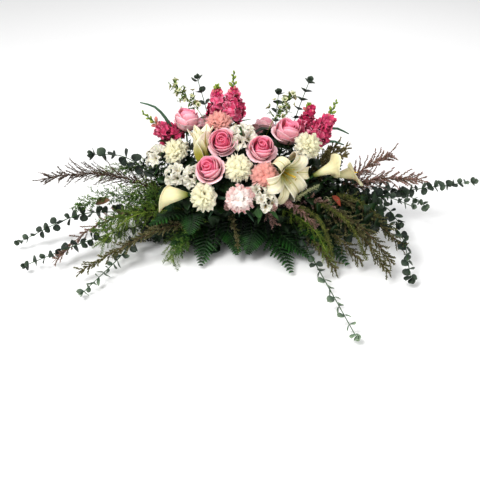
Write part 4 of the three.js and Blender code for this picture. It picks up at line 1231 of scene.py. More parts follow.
@dataclass
class Alstroemeria(Bloom):
    """An alstroemeria: four trumpet florets in a ring at the stem's end, with narrow leaves below."""

    # Where the florets leave the stem, as a share of it, and how far they lean up it, in radians
    HEAD_AT: ClassVar[float] = 0.96
    FLORET_LEAN: ClassVar[float] = 0.98

    size: float = 36.0
    neck_below: float = 27.2
    stem: float = 1.7
    mouth: float = 20.0

    def limbs(self) -> tuple[Array, Array]:
        """Finds the base and the direction of each floret.

        Returns:
            (4, 3) bases and (4, 3) directions.
        """
        head = np.array([self.HEAD_AT])
        along, right, up = self.path.frames(head, 0.4)
        outs = np.concatenate([right, up, -right, -up])
        return np.repeat(self.path.at(head), len(outs), 0), unit(swing(outs, along, self.FLORET_LEAN))

    def petals(self) -> Skin:
        """Builds six petals a floret, three broad and three narrow, that open out of a slim funnel.

        Returns:
            The petals of all the florets.
        """
        skin = Skin()
        base, grow = self.limbs()
        v, u = spread(9, 7)
        hint = unit(np.cross(grow, self.facing + 0.3))
        other = np.cross(grow, hint)
        draw = self.draw.uniform
        shape = (len(base), 1, 1)
        for layer, (width, reach) in enumerate(((0.50, 1.0), (0.36, 1.05))):
            for turn in even_turns(3) + layer * math.pi / 3:
                far = self.mouth * reach * draw(0.85, 1.1, shape)
                radius = far * (0.08 + 0.16 * v + 0.78 * np.clip((v - 0.3) / 0.7, 0, 1) ** 1.4)
                level = self.size * (0.1 + 0.88 * np.sin(v * draw(1.6, 2.1, shape)))
                half = self.mouth * width * np.sin(math.pi * v**1.6 * 0.96 + 0.06) ** 0.85
                cup = half * u**2 * 0.6 + 1.6 * np.sin(5 * v + draw(0, 6.3, shape)) * u * v
                local = blade_points(u * half, radius - cup * 0.5, level + cup * 0.6)
                radial = swing(hint, other, turn)
                skin.sheets(place(local, base, np.cross(radial, grow), radial, grow), 0.25 + 0.5 * layer)
        return skin

    def heart(self) -> Skin:
        """Builds the stamens.

        Returns:
            The stamens.
        """
        skin = Skin()
        base, grow = self.limbs()
        for i in range(5):
            lean = unit(grow + self.draw.normal(0, 0.16, grow.shape))
            needles(skin, base + grow * 12, base + lean * self.draw.uniform(26, 33), 0.6, i / 5)
        return skin

    def greens(self) -> Skin:
        """Builds the stem and the florets' own stalks.

        Returns:
            The stem and the stalks.
        """
        skin = self.stem_skin(5)
        base, grow = self.limbs()
        needles(skin, base, base + grow * 14, 1.6)
        return skin

    def leaf_skin(self) -> Skin:
        """Builds lance leaves up to the florets."""
        return self.stem_leaves(LANCE_LEAF, 10, (0.45, 0.95), 0.4, (40, 58))

    def build(self) -> None:
        """Makes the alstroemeria's pieces."""
        self.petals().piece(f"{self.name}_petals", ALSTROEMERIA, self.name, 0.4)
        self.heart().piece(f"{self.name}_stamens", POLLEN, self.name)
        self.greens().piece(f"{self.name}_stem", STEM, self.name)
        self.leaf_skin().piece(f"{self.name}_leaves", STEM, self.name, 0.4)


@dataclass
class Spike:
    """A flower spike: its stem runs on from the bend at `base` to the tip."""

    name: str
    base: Triple
    tip: Triple
    root: Triple | None = None
    seed: int = 1

    def __post_init__(self) -> None:
        """Works out the path and where the spike starts on it."""
        self.draw = np.random.default_rng(self.seed)
        low, high = np.array(self.base, float), np.array(self.tip, float)
        axis = unit(high - low)
        root = np.array(self.root, float) if self.root else flower_root(low)
        stalk = stem_path(root, low, axis)
        self.path = Path(np.vstack([stalk.points, low + (high - low) * np.linspace(0.02, 1, 30)[:, None]]))
        self.spike = float(np.linalg.norm(high - low)) / self.path.length

    def spots(self, shares: Array) -> tuple[Array, Array, Array]:
        """Finds points in a golden spiral, outward directions and directions along."""
        return self.path.spots(shares, np.arange(len(shares)) * GOLDEN_TURN)


@dataclass
class Snapdragon(Spike):
    """A snapdragon: two-lipped florets down the spike, closed buds at its tip."""

    # The lowest buds, up to this share of them, already show salmon
    BLUSH_UP_TO: ClassVar[float] = 0.3
    FLORETS: ClassVar[int] = 17
    BUDS: ClassVar[int] = 12
    FLORET: ClassVar[float] = 34.0
    # For each lobe: its turn from the top of the floret, reach, half width and how far its lip rolls down
    LOBES: ClassVar[Table] = (
        (0.55, 0.56, 0.36, 0.16),
        (-0.55, 0.56, 0.36, 0.16),
        (math.pi, 0.46, 0.3, 0.36),
        (2.1, 0.44, 0.32, 0.36),
        (-2.1, 0.44, 0.32, 0.36),
    )

    bud_share: float = 0.36

    def florets(self) -> Skin:
        """Builds the florets: a tube, two upright lobes and three lower lobes, all ruffled.

        Returns:
            The florets.
        """
        skin = Skin()
        n = self.FLORETS
        share = np.linspace(0, 1, n)
        at, out, along = self.spots(1 - self.spike * (0.99 - (1 - self.bud_share) * share))
        draw = self.draw.uniform
        size = self.FLORET * (1.08 - 0.45 * share) * draw(0.7, 1.2, n)
        grow = unit(swing(out, along, 0.2 + 0.4 * share + draw(-0.4, 0.4, n)))
        grow = unit(grow + self.draw.normal(0, 0.12, grow.shape))
        up = unit(along - grow * np.sum(along * grow, axis=-1, keepdims=True))
        across = np.cross(grow, up)
        tone = draw(0.0, 1, n)
        bodies(skin, at, grow, size, (0.08, 0.3, 0.5, 0.62), (0.1, 0.18, 0.24, 0.2), 7, tone * 0.5)
        v, u = spread(5, 6)
        shape = (n, 1, 1)
        for turn, reach, width, roll in self.LOBES:
            radial = swing(up, across, turn)
            half = width * np.sin(0.35 + 2.3 * v) ** 0.8 * draw(0.8, 1.2, shape)
            ruffle = 0.15 * np.sin(4 * u + draw(0, 6.3, shape)) * v**1.5
            radius = 0.13 + reach * draw(0.85, 1.15, shape) * np.sin(v * 1.45)
            level = 0.52 + 0.34 * v - roll * v**2 + ruffle + 0.14 * u**2 * v
            local = blade_points(u * half, radius * (1 - 0.15 * u**2), level) * size[:, None, None, None]
            skin.sheets(place(local, at, np.cross(grow, radial), radial, grow), tone)
        return skin

    def buds(self, young: bool) -> Skin:
        """Builds plump closed buds, those near the tip or those below them.

        Args:
            young: whether to build the green buds near the tip, or the salmon ones below them.

        Returns:
            The buds.
        """
        skin = Skin()
        t = np.linspace(0, 1, self.BUDS)
        at, out, along = self.spots(1 - self.spike * (self.bud_share * (1 - t) + 0.004))
        size = self.FLORET * (0.56 - 0.3 * t) * self.draw.uniform(0.85, 1.15, self.BUDS)
        grow = unit(swing(out, along, 0.5 + 0.6 * t))
        kept = (t > self.BLUSH_UP_TO) == young
        levels, radii = (0.0, 0.3, 0.6, 0.88, 1.0), (0.08, 0.2, 0.27, 0.16, 0.03)
        bodies(skin, at[kept], grow[kept], size[kept], levels, radii, 7, (1 - t)[kept])
        return skin

    def greens(self) -> Skin:
        """Builds the stem.

        Returns:
            The stem.
        """
        skin = Skin()
        rod(skin, self.path, 2.1 * np.linspace(1.0, 0.4, 22))
        return skin

    def leaf_skin(self) -> Skin:
        """Builds lance leaves under the florets.

        Returns:
            The leaves.
        """
        skin = Skin()
        shares = np.linspace(0.35, 1 - self.spike * 0.98, 10)
        at, out, along = self.spots(shares)
        leaves(skin, LANCE_LEAF, at, out + along * 0.7, along, self.draw.uniform(36, 52, 10), self.draw)
        return skin

    def build(self) -> None:
        """Makes the snapdragon's pieces."""
        self.florets().piece(f"{self.name}_florets", SNAPDRAGON, self.name, 0.45)
        self.buds(True).piece(f"{self.name}_buds", BUD, self.name)
        self.buds(False).piece(f"{self.name}_blush_buds", BLUSH_BUD, self.name)
        self.greens().piece(f"{self.name}_stem", STEM, self.name)
        self.leaf_skin().piece(f"{self.name}_leaves", STEM, self.name, 0.4)


@dataclass
class Sprig(Spike):
    """A white sprig: a branched stem of small cups, buds and narrow leaves."""

    STALKS: ClassVar[int] = 17
    CUP: ClassVar[float] = 7.5

    def limbs(self) -> tuple[Array, Array, Array]:
        """Finds the base, tip and direction of each side stalk.

        Returns:
            (n, 3) bases, tips and directions.
        """
        n = self.STALKS
        t = np.linspace(0, 1, n)
        at, out, along = self.spots(1 - self.spike * (0.98 - 0.96 * t))
        grow = unit(swing(out, along, 0.6 + 0.35 * t + 0.3 * np.sin(5 * np.arange(n))))
        reach = (40 - 24 * t) * self.draw.uniform(0.5, 1.1, n)
        return at, at + grow * reach[:, None], grow

    def cups(self) -> Skin:
        """Builds five round petals a cup.

        Returns:
            The cups.
        """
        skin = Skin()
        _, tip, grow = self.limbs()
        hint = unit(np.cross(grow, np.array([0.3, 0.2, 1.0])))
        other = np.cross(grow, hint)
        v, u = spread(4, 4)
        size = self.CUP * self.draw.uniform(0.7, 1.15, self.STALKS)
        for turn in even_turns(5):
            radial = swing(hint, other, turn)
            half = 0.55 * np.sin(0.3 + 2.3 * v)
            local = blade_points(u * half, 0.1 + 0.95 * v, 0.5 * np.sin(v * 2) + 0.1 * u**2)
            sheet = place(local * size[:, None, None, None], tip, np.cross(radial, grow), radial, grow)
            skin.sheets(sheet, self.draw.uniform(0, 1, self.STALKS))
        return skin

    def greens(self) -> Skin:
        """Builds the stem, side stalks, buds and bracts.

        Returns:
            The stem, side stalks, buds and bracts.
        """
        skin = Skin()
        rod(skin, self.path, 1.5 * np.linspace(1.0, 0.4, 20), 5)
        base, tip, grow = self.limbs()
        needles(skin, base, tip, 0.7)
        mid = base + (tip - base) * 0.6
        away = unit(self.draw.normal(0, 1, grow.shape) + grow)
        needles(skin, mid, mid + away * 12, 2.4)
        needles(skin, base, base + unit(away + grow) * 20, 2.2)
        needles(skin, tip, tip - grow * 4 + away * 2, 2.2)
        return skin

    def leaf_skin(self) -> Skin:
        """Builds small leaves along the stem and the side stalks.

        Returns:
            The leaves.
        """
        skin = Skin()
        base, tip, grow = self.limbs()
        for share in (0.1, 0.45, 0.75):
            at = base + (tip - base) * share
            way = unit(grow + self.draw.normal(0, 0.7, grow.shape))
            leaves(skin, LANCE_LEAF, at, way, UP + 0.2, self.draw.uniform(14, 22, self.STALKS), self.draw)
        return skin

    def build(self) -> None:
        """Makes the sprig's pieces."""
        self.leaf_skin().piece(f"{self.name}_leaves", SPRIG_LEAF, self.name, 0.3)
        self.cups().piece(f"{self.name}_cups", SPRIG_CUP, self.name, 0.4)
        self.greens().piece(f"{self.name}_stem", BUD, self.name)


@dataclass
class Green:
    """A cut green: one or more leafy stems that leave the foam together."""

    # What the pieces' names end in, the thickness of a leaf, and where on the first stem others branch off
    FOLIAGE: ClassVar[str] = "leaves"
    WOOD: ClassVar[str] = "stem"
    THICK: ClassVar[float] = 0.0
    BRANCH_AT: ClassVar[float] = 0.22

    name: str
    root: Triple = (0.0, 0.0, 0.0)
    paths: tuple[Line, ...] = ()
    seed: int = 1
    fillers: tuple[Line, ...] = ()
    node: str = ""
    finish: Growth = SALAL
    bark: Growth = STEM

    def __post_init__(self) -> None:
        """Starts the random draws and lays the stems."""
        self.draw = np.random.default_rng(self.seed)
        self.stems = self.lay_stems()

    def lay_stems(self) -> list[Path]:
        """Lays the stems. Those after the first branch off it, and fillers have roots of their own.

        Returns:
            The stems' middle lines, the main one first.
        """
        main = green_path(self.root, self.paths[0])
        fork = tuple(main.at(self.BRANCH_AT))
        branches = [green_path(fork, path) for path in self.paths[1:]]
        return [main] + branches + [green_path(path[0], path[1:]) for path in self.fillers]

    def dress(self, wood: Skin, foliage: Skin, path: Path, first: bool) -> None:
        """Adds one stem to the wood, and what it carries to the foliage.

        Args:
            wood: takes the stem.
            foliage: takes its leaves, leaflets or needles.
            path: the stem's middle line.
            first: whether it is the green's main stem.
        """
        raise NotImplementedError

    def build(self) -> None:
        """Makes the foliage and the wood."""
        wood, foliage = Skin(), Skin()
        for k, path in enumerate(self.stems):
            self.dress(wood, foliage, path, k == 0)
        foliage.piece(f"{self.name}_{self.FOLIAGE}", self.finish, self.node or self.name, self.THICK)
        wood.piece(f"{self.name}_{self.WOOD}", self.bark, self.node or self.name)


@dataclass
class Eucalyptus(Green):
    """Silver dollar eucalyptus: round leaves in pairs that turn by a right angle from pair to pair.

    Leaves shrink from `big` to `small` and turn as pale as `pale` toward the tip. `tumble` throws them
    about, and `toward` turns them from their own way, 0, to the outlook, 1.
    """

    THICK: ClassVar[float] = 0.6
    # First leaves of a branch and last pair of any stem, as shares of it
    BRANCH_START: ClassVar[float] = 0.12
    LAST: ClassVar[float] = 0.97
    # Places, turns and sizes of the three leaves at the very tip
    TIP: ClassVar[tuple[Triple, ...]] = ((0.985, 0.985, 0.995), (0.6, 3.7, 2.0), (0.8, 0.75, 0.55))

    start: float = 0.25
    spacing: float = 18.5
    big: float = 29.0
    small: float = 21.0
    pale: float = 0.16
    tumble: float = 0.6
    toward: float = 0.0
    outlook: Triple = (0.0, -0.7, 0.7)
    form: LeafForm = ROUND_LEAF
    finish: Growth = EUCALYPTUS

    def dress(self, wood: Skin, foliage: Skin, path: Path, first: bool) -> None:
        """Adds a stem, its pairs of leaves and the leaves at its tip.

        Args:
            wood: takes the stem.
            foliage: takes the leaves.
            path: the stem's middle line.
            first: whether it is the green's main stem.
        """
        draw = self.draw.uniform
        rod(wood, path, 1.7 * np.linspace(1.0, 0.5, 26))
        start = self.start if first else self.BRANCH_START
        count = int(path.length * (self.LAST - start) / self.spacing)
        t = np.repeat(np.linspace(0, 1, count), 2)
        flip = np.tile([0.0, math.pi], count)
        turn = flip + np.repeat(np.arange(count) % 2 * math.pi / 2 + draw(-0.5, 0.5, count), 2)
        shares = start + (self.LAST - start) * t
        at, out, along = path.spots(shares, turn + draw(-0.2, 0.2, len(t)))
        grow = swing(out, along, 0.2 + 0.4 * t + draw(-0.3, 0.3, len(t)))
        size = (self.big + (self.small - self.big) * t) * draw(0.8, 1.1, len(t))
        tone = np.clip(self.pale * t**1.5 + self.draw.normal(0, 0.08, len(t)), 0, 1)
        face = along * (1 - self.toward) + np.array(self.outlook) * self.toward
        face = face + self.draw.normal(0, self.tumble, along.shape)
        leaves(foliage, self.form, at, grow, face, size, self.draw, tone)
        shares, turn, sizes = np.array(self.TIP)
        at, out, along = path.spots(shares, turn)
        leaves(foliage, self.form, at, along + out * 0.35, out, self.small * sizes, self.draw, self.pale)


@dataclass
class Fern(Green):
    """Leatherleaf fern: arched fronds cut twice, whose leaflets are longest low on the frond."""

    FOLIAGE: ClassVar[str] = "leaflets"
    WOOD: ClassVar[str] = "ribs"

    longest: float = 56.0
    side_longest: float = 50.0
    breadth: float = 0.17
    leaflets: int = 12
    lobes: int = 6
    start: float = 0.3
    roll: float = 0.15
    finish: Growth = FERN

    def dress(self, wood: Skin, foliage: Skin, path: Path, first: bool) -> None:
        """Adds one frond.

        Leaflets stand closer and get shorter toward the tip. Each is a flat closed blade that leaves the
        rib, bends toward the tip and tapers. Every second row of it is narrow, so its edges are cut in lobes
        that point forward.

        Args:
            wood: takes the rib.
            foliage: takes the leaflets.
            path: the rib's middle line.
            first: whether it is the green's main frond.
        """
        longest = self.longest if first else self.side_longest
        rod(wood, path, 1.4 * np.linspace(1.0, 0.3, 12), 5)
        t = np.repeat(np.linspace(0, 1, self.leaflets), 2)
        side = np.tile([1.0, -1.0], self.leaflets)[:, None]
        near_tip = t**0.74
        shares = self.start + (0.99 - self.start) * near_tip
        along, right, up = path.frames(shares, self.draw.uniform(-self.roll, self.roll))
        reach = longest * (1 - 0.86 * near_tip**1.25) * self.draw.uniform(0.8, 1.08, len(t))
        rows = 2 * self.lobes + 1
        q = np.linspace(0, 1, rows)[None, :, None]
        out = reach[:, None, None] * q
        line = path.at(shares)[:, None] + (right * side)[:, None] * out * 0.82
        line = line + along[:, None] * out * (0.5 + 0.12 * q) - up[:, None] * 0.0016 * out**2
        grow = unit(np.gradient(line, axis=1))
        across = unit(np.cross(grow, up[:, None]))
        deep = np.cross(across, grow) * 0.35
        notch = np.where(np.arange(rows) % 2 == 1, 1.0, 0.5)[None, :, None]
        half = (self.breadth * reach[:, None, None] + 3.2) * (1 - 0.8 * q**1.3) * notch
        ahead = grow * half * notch * 0.6
        rim = line + ahead
        rings = np.stack([rim + across * half, line - deep, rim - across * half, line + deep], axis=2)
        ends = np.stack([line[:, 0], line[:, -1] + grow[:, -1] * 2.5], axis=1)
        # Painted shade: each leaflet's random tone is scaled by its share toward the tip, so leaflets darken
        # toward the frond's shadowed base and lighten toward the lit tip
        foliage.rods(rings, ends, self.draw.uniform(0.1, 1, len(t)) * near_tip)


@dataclass
class Collar(Fern):
    """Short leatherleaf fronds that stand out of the foam and hide it, and hang over the tray's rim."""

    # The oval that the fronds leave from at the foam's edge, and its height
    RIM: ClassVar[Triple] = (205.0, 42.0, 72.0)
    # Upright and hanging fronds, whose number is the same in each collar
    TALL: ClassVar[int] = 2
    SKIRT: ClassVar[int] = 7
    # For each round of fronds: lift, droop of the tip, share of the way to the rim and share of the length
    ROUNDS: ClassVar[Table] = (
        (0.15, 46.0, 1.0, 1.0),
        (1.0, 16.0, 0.95, 1.0),
        (4.0, 10.0, 0.5, 1.0),
        (-0.1, 48.0, 1.05, 0.62),
    )

    turn_from: float = 0.0
    turn_to: float = 90.0
    low: int = 6
    steep: int = 4
    breadth: float = 0.08
    leaflets: int = 9
    lobes: int = 3
    longest: float = 40.0
    side_longest: float = 40.0
    start: float = 0.16
    roll: float = 0.8
    # The collar fronds wear the fern darkened to near black, as painted shade
    finish: Growth = FERN_SHADED

    def lay_stems(self) -> list[Path]:
        """Fans the fronds out between two turns about the foam, in degrees, in four rounds.

        Returns:
            The fronds' middle lines.
        """
        stems = []
        counts = (self.low, self.steep, self.TALL, self.SKIRT)
        for count, (lift, droop, near_rim, short) in zip(counts, self.ROUNDS):
            for k in range(count):
                share = (k + self.draw.uniform(0.2, 0.8)) / count
                turn = math.radians(self.turn_from + (self.turn_to - self.turn_from) * share)
                x, y = math.cos(turn), math.sin(turn)
                root = np.array(self.RIM) * [near_rim * x, near_rim * y, 1.0]
                way = unit(np.array([0.4 * x, y, lift]) + self.draw.uniform(-0.12, 0.12, 3))
                reach = (108 + 50 * abs(x) + 14 * lift) * short * self.draw.uniform(0.85, 1.1)
                middle = root + way * reach * 0.55 - UP * droop * 0.2
                tip = root + way * reach - UP * droop
                stems.append(through(np.stack([root, root + way * reach * 0.2, middle, tip])))
        return stems


@dataclass
class Brush(Green):
    """A green whose stems carry side branches in a spiral, each set all round with fine needles."""

    # Length of stem that carries the full number of branches, and its last branch as a share of it
    ON_LENGTH: ClassVar[float] = 300.0
    LAST: ClassVar[float] = 0.98
    # A branch's least and greatest lean up the stem, in radians, and its length as shares of `longest`
    LEAN: ClassVar[Pair] = (0.55, 1.05)
    REACH: ClassVar[Pair] = (0.45, 1.15)
    # How much needles are combed toward the branch's tip, and their length as shares of `needle`
    COMBED: ClassVar[float] = 0.9
    SHARES: ClassVar[Pair] = (0.6, 1.2)
    # Least and greatest tone of a branch, and how fast it rises from the branch's base
    TONES: ClassVar[Pair] = (0.0, 1.0)
    RISE: ClassVar[float] = 0.0

    branches: int = 74
    needles_each: int = 44
    longest: float = 70.0
    needle: float = 7.0
    girth: float = 0.55
    start: float = 0.12

    def bend(self, out: Array, along_branch: Array) -> Array:
        """Finds how far branches bend off a straight line.

        Args:
            out: (n, 3) outward direction of each branch.
            along_branch: (1, needles, 1) places along a branch, 0 to 1.

        Returns:
            Moves of those places, as shares of a branch's length.
        """
        raise NotImplementedError

    def add_twigs(self, wood: Skin, path: Path, line: Array) -> None:
        """Adds the stem and the branches to the wood."""
        raise NotImplementedError

    def dress(self, wood: Skin, foliage: Skin, path: Path, first: bool) -> None:
        """Adds a stem, its branches and their needles.

        Args:
            wood: takes the stem and the branches.
            foliage: takes the needles.
            path: the stem's middle line.
            first: whether it is the green's main stem, which changes nothing here.
        """
        draw = self.draw.uniform
        count = int(self.branches * path.length / self.ON_LENGTH)
        t = np.linspace(0, 1, count)
        shares = self.start + (self.LAST - self.start) * t
        at, out, along = path.spots(shares, np.arange(count) * GOLDEN_TURN)
        grow = unit(swing(out, along, draw(*self.LEAN, count)))
        reach = (self.longest * (1 - 0.5 * t) * draw(*self.REACH, count))[:, None, None]
        q = np.linspace(0.08, 1.0, self.needles_each)[None, :, None]
        line = at[:, None] + grow[:, None] * q * reach + self.bend(out, q) * reach
        self.add_twigs(wood, path, line)
        spots = line.reshape(-1, 3)
        heading = np.repeat(grow, self.needles_each, axis=0)
        lean = unit(unit(self.draw.normal(0, 1, spots.shape)) + heading * self.COMBED)
        length = self.needle * draw(*self.SHARES, (len(spots), 1))
        tone = np.outer(draw(*self.TONES, count), q.ravel() ** self.RISE).ravel()
        tone = np.clip(tone + self.draw.normal(0, 0.15, len(spots)), 0, 1)
        needles(foliage, spots, spots + lean * length, self.girth, tone)


@dataclass
class PlumeFern(Brush):
    """Plume fern: soft needles as fine as hairs on side branches that hang at their tips."""

    FOLIAGE: ClassVar[str] = "needles"
    WOOD: ClassVar[str] = "ribs"

    hang: float = 0.35
    finish: Growth = PLUME

    def __post_init__(self) -> None:
        """Gives the ribs the needles' finish."""
        super().__post_init__()
        self.bark = self.finish

    def bend(self, out: Array, along_branch: Array) -> Array:
        """Lets the branches hang by the square of the way along them."""
        return -UP * along_branch**2 * self.hang

    def add_twigs(self, wood: Skin, path: Path, line: Array) -> None:
        """Adds the rib, and each branch as two slim rods.

        Args:
            wood: takes the rib and the branches.
            path: the rib's middle line.
            line: (n, needles, 3) points along the branches.
        """
        rod(wood, path, 1.5 * np.linspace(1.0, 0.3, 22), 5)
        halfway = self.needles_each // 2
        needles(wood, line[:, 0], line[:, halfway], 0.5)
        needles(wood, line[:, halfway], line[:, -1], 0.4)


@dataclass
class Heather(Brush):
    """Heather: long ascending twigs thick with tiny leaves, like brushes."""

    WOOD: ClassVar[str] = "twigs"
    ON_LENGTH: ClassVar[float] = 400.0
    LAST: ClassVar[float] = 0.96
    LEAN: ClassVar[Pair] = (0.85, 1.35)
    REACH: ClassVar[Pair] = (0.3, 1.05)
    COMBED: ClassVar[float] = 1.7
    SHARES: ClassVar[Pair] = (0.5625, 1.0)
    TONES: ClassVar[Pair] = (0.2, 1.0)
    RISE: ClassVar[float] = 1.5

    branches: int = 76
    needles_each: int = 29
    longest: float = 82.0
    needle: float = 8.0
    girth: float = 1.1
    start: float = 0.14
    finish: Growth = HEATHER
    bark: Growth = BARK

    def bend(self, out: Array, along_branch: Array) -> Array:
        """Bows each twig its own way, by the square of the way along it."""
        way = unit(out + self.draw.normal(0, 0.4, out.shape))
        return way[:, None] * 0.2 * along_branch**2

    def add_twigs(self, wood: Skin, path: Path, line: Array) -> None:
        """Adds the woody stem and its twigs.

        Args:
            wood: takes the stem and the twigs.
            path: the stem's middle line.
            line: (n, needles, 3) points along the twigs.
        """
        rod(wood, path, 1.8 * np.linspace(1.0, 0.35, 26), 5)
        line = line[:, ::10]
        rings, ends = rings_along(line, np.full((1, line.shape[1]), 0.6), 3)
        wood.rods(rings, ends)


@dataclass
class Salal(Green):
    """Salal: broad leaves along a stem that is laid beside the foam, and on low stems round its tray."""

    THICK: ClassVar[float] = 0.6
    LONG: ClassVar[float] = 56.0
    # Lift of the three leaves of a cluster, from upright to hanging
    LIFTS: ClassVar[Triple] = (0.7, -0.3, -1.6)

    clusters: int = 20

    def dress(self, wood: Skin, foliage: Skin, path: Path, first: bool) -> None:
        """Adds a stem and its leaves, in threes, which face away from the middle of the holder.

        Args:
            wood: takes the stem.
            foliage: takes the leaves.
            path: the stem's middle line.
            first: whether it is the green's main stem, whose leaves have more points.
        """
        draw = self.draw.uniform
        rod(wood, path, 1.6 * np.linspace(1.0, 0.5, 24), 5)
        t = np.repeat(np.linspace(0.1, 0.98, self.clusters), 3)
        at, along = path.at(t), path.along(t)
        away = unit(np.cross(along, UP))
        away = away * np.sign(np.sum(away * at, axis=1, keepdims=True))
        lift = (np.tile(self.LIFTS, self.clusters) + draw(-0.2, 0.2, len(t)))[:, None]
        sway = draw(-0.9, 0.9, (len(t), 1))
        grow = unit(UP * lift + along * sway + away * draw(0.1, 0.5, (len(t), 1)))
        size = self.LONG * draw(0.6, 1.0, len(t))
        leaves(foliage, BROAD_LEAF if first else SHOOT_LEAF, at, grow, away + UP * 0.3, size, self.draw)


@dataclass
class Shoots(Green):
    """Upright salal shoots that stand among the blooms and close the gaps between their stems."""

    WOOD: ClassVar[str] = "stems"
    THICK: ClassVar[float] = 0.5
    LEAVES_EACH: ClassVar[int] = 11

    tips: Line = ()
    long: float = 50.0

    def lay_stems(self) -> list[Path]:
        """Runs one stem out of the foam to each tip."""
        ends = [(flower_root(tip), tip) for tip in np.array(self.tips, float)]
        return [stem_path(root, tip, unit(tip - root)) for root, tip in ends]

    def dress(self, wood: Skin, foliage: Skin, path: Path, first: bool) -> None:
        """Adds a stem and its leaves, which stand out all round it.

        Args:
            wood: takes the stem.
            foliage: takes the leaves.
            path: the stem's middle line.
            first: whether it is the green's main stem, which changes nothing here.
        """
        rod(wood, path, 1.5 * np.linspace(1.0, 0.5, 12), 5)
        n = self.LEAVES_EACH
        turn = np.arange(n) * GOLDEN_TURN + self.draw.uniform(0, 6)
        at, out, along = path.spots(np.linspace(0.5, 0.99, n), turn)
        size = self.long * self.draw.uniform(0.7, 1.05, n)
        leaves(foliage, SHOOT_LEAF, at, out + along * 0.5, along, size, self.draw)


class Accents:
    """Odd leaves: three grey green straps, one turned leaf, one brown leaf and one fresh green leaf."""

    # Greatest half width of a strap, and its depth over its width
    STRAP_HALF: ClassVar[float] = 5.0
    STRAP_FLAT: ClassVar[float] = 0.45
    FIRST_SEED: ClassVar[int] = 200
    STRAPS: ClassVar[tuple[Line, ...]] = (
        ((120, 28, 120), (178, 10, 265), (199, 20, 279), (228, 30, 281), (263, 30, 265)),
        ((130, 20, 110), (186, 0, 241), (215, 10, 253), (251, 20, 238)),
        ((-128, 30, 110), (-186, 32, 250), (-220, 34, 315), (-243, 34, 339), (-279, 34, 350)),
    )
    # For each odd leaf: finish, node, base, tip and the way it faces
    LEAVES: ClassVar[tuple] = (
        (TURNED, "salal_2", (208, -116, 160), (236, -126, 136), (0.9, -0.5, 0.9)),
        (BARK, "salal_1", (-403, -64, 106), (-362, -66, 124), (0, -0.3, 1)),
        (STEM, "alstroemeria_1", (19, -196, 167), (27, -198, 136), (0.2, -1, 0.2)),
    )

    def build(self) -> None:
        """Makes each leaf, with the straps in one piece."""
        straps = Skin()
        for points in self.STRAPS:
            path = through(np.array(points, float))
            radii = self.STRAP_HALF * np.sin(np.linspace(0.5, 3.0, 16)) ** 0.6
            rings, ends = rings_along(path.at(np.linspace(0, 1, 16))[None], radii[None], 8, self.STRAP_FLAT)
            straps.rods(rings, ends)
        straps.piece("snapdragon_4_straps", GLAUCOUS, "snapdragon_4")
        for k, (finish, node, base, tip, face) in enumerate(self.LEAVES):
            skin, draw = Skin(), np.random.default_rng(self.FIRST_SEED + k)
            base, tip, face = (np.array([v], float) for v in (base, tip, face))
            leaves(skin, BROAD_LEAF, base, tip - base, face, np.linalg.norm(tip - base, axis=1), draw)
            skin.piece(f"{node}_odd_leaf", finish, node, 0.5)


class Moulded(Enum):
    """The made parts of the holder: node, colour, roughness, and size and depth of the surface's grain."""

    SADDLE = ("saddle_tray", "#26402b", 0.42, 1.5, 0.10)
    FOAM = ("foam_block", "#2c4f31", 0.95, 0.8, 0.9)
    TAPE_LEFT = ("anchor_tape_left", "#3a6642", 0.5, 1.2, 0.35)
    TAPE_RIGHT = ("anchor_tape_right", "#3a6642", 0.5, 1.2, 0.35)

    def dress(self) -> None:
        """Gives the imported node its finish: a fine grain on plastic and tape, open cells on foam."""
        node, colour, rough, grain, depth = self.value
        made = bpy.data.materials.new(f"{node}_skin")
        made.use_nodes = True
        tree = made.node_tree
        tree.nodes.clear()
        coords = add_node(tree, "ShaderNodeTexCoord").outputs["Object"]
        cells = add_node(tree, "ShaderNodeTexNoise", {
            "Vector": coords, "Scale": 1 / (grain * MM), "Detail": 3.0,
        })
        broad = add_node(tree, "ShaderNodeTexNoise", {"Vector": coords, "Scale": 30.0, "Detail": 2.0})
        shade = add_node(tree, "ShaderNodeMapRange", {0: broad.outputs[0], 1: 0.3, 2: 0.7, 3: 0.75, 4: 1.1})
        inputs = {MIX_FACTOR: 1.0, MIX_A: linear(colour), MIX_B: shade.outputs[0]}
        tint = add_node(tree, "ShaderNodeMix", inputs, data_type="RGBA", blend_type="MULTIPLY")
        bump = add_node(tree, "ShaderNodeBump", {
            "Height": cells.outputs[0], "Strength": depth, "Distance": 0.5 * MM,
        })
        skin = add_node(tree, "ShaderNodeBsdfPrincipled", {
            "Base Color": tint.outputs[MIX_RESULT], "Roughness": rough, "Normal": bump.outputs[0],
        })
        add_node(tree, "ShaderNodeOutputMaterial", {0: skin.outputs[0]})
        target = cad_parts[node]
        target.data.materials.clear()
        target.data.materials.append(made)


# For each collar: its fern's number, the turns about the foam that it fans between, in degrees, and how many
# low and steep fronds it has
COLLARS = (
    (1, 195, 255, 6, 4),
    (2, 255, 300, 5, 3),
    (3, 300, 375, 5, 4),
    (4, 150, 195, 5, 3),
    (5, 90, 150, 6, 4),
    (6, 15, 90, 6, 4),
)
COLLAR_SEED = 150
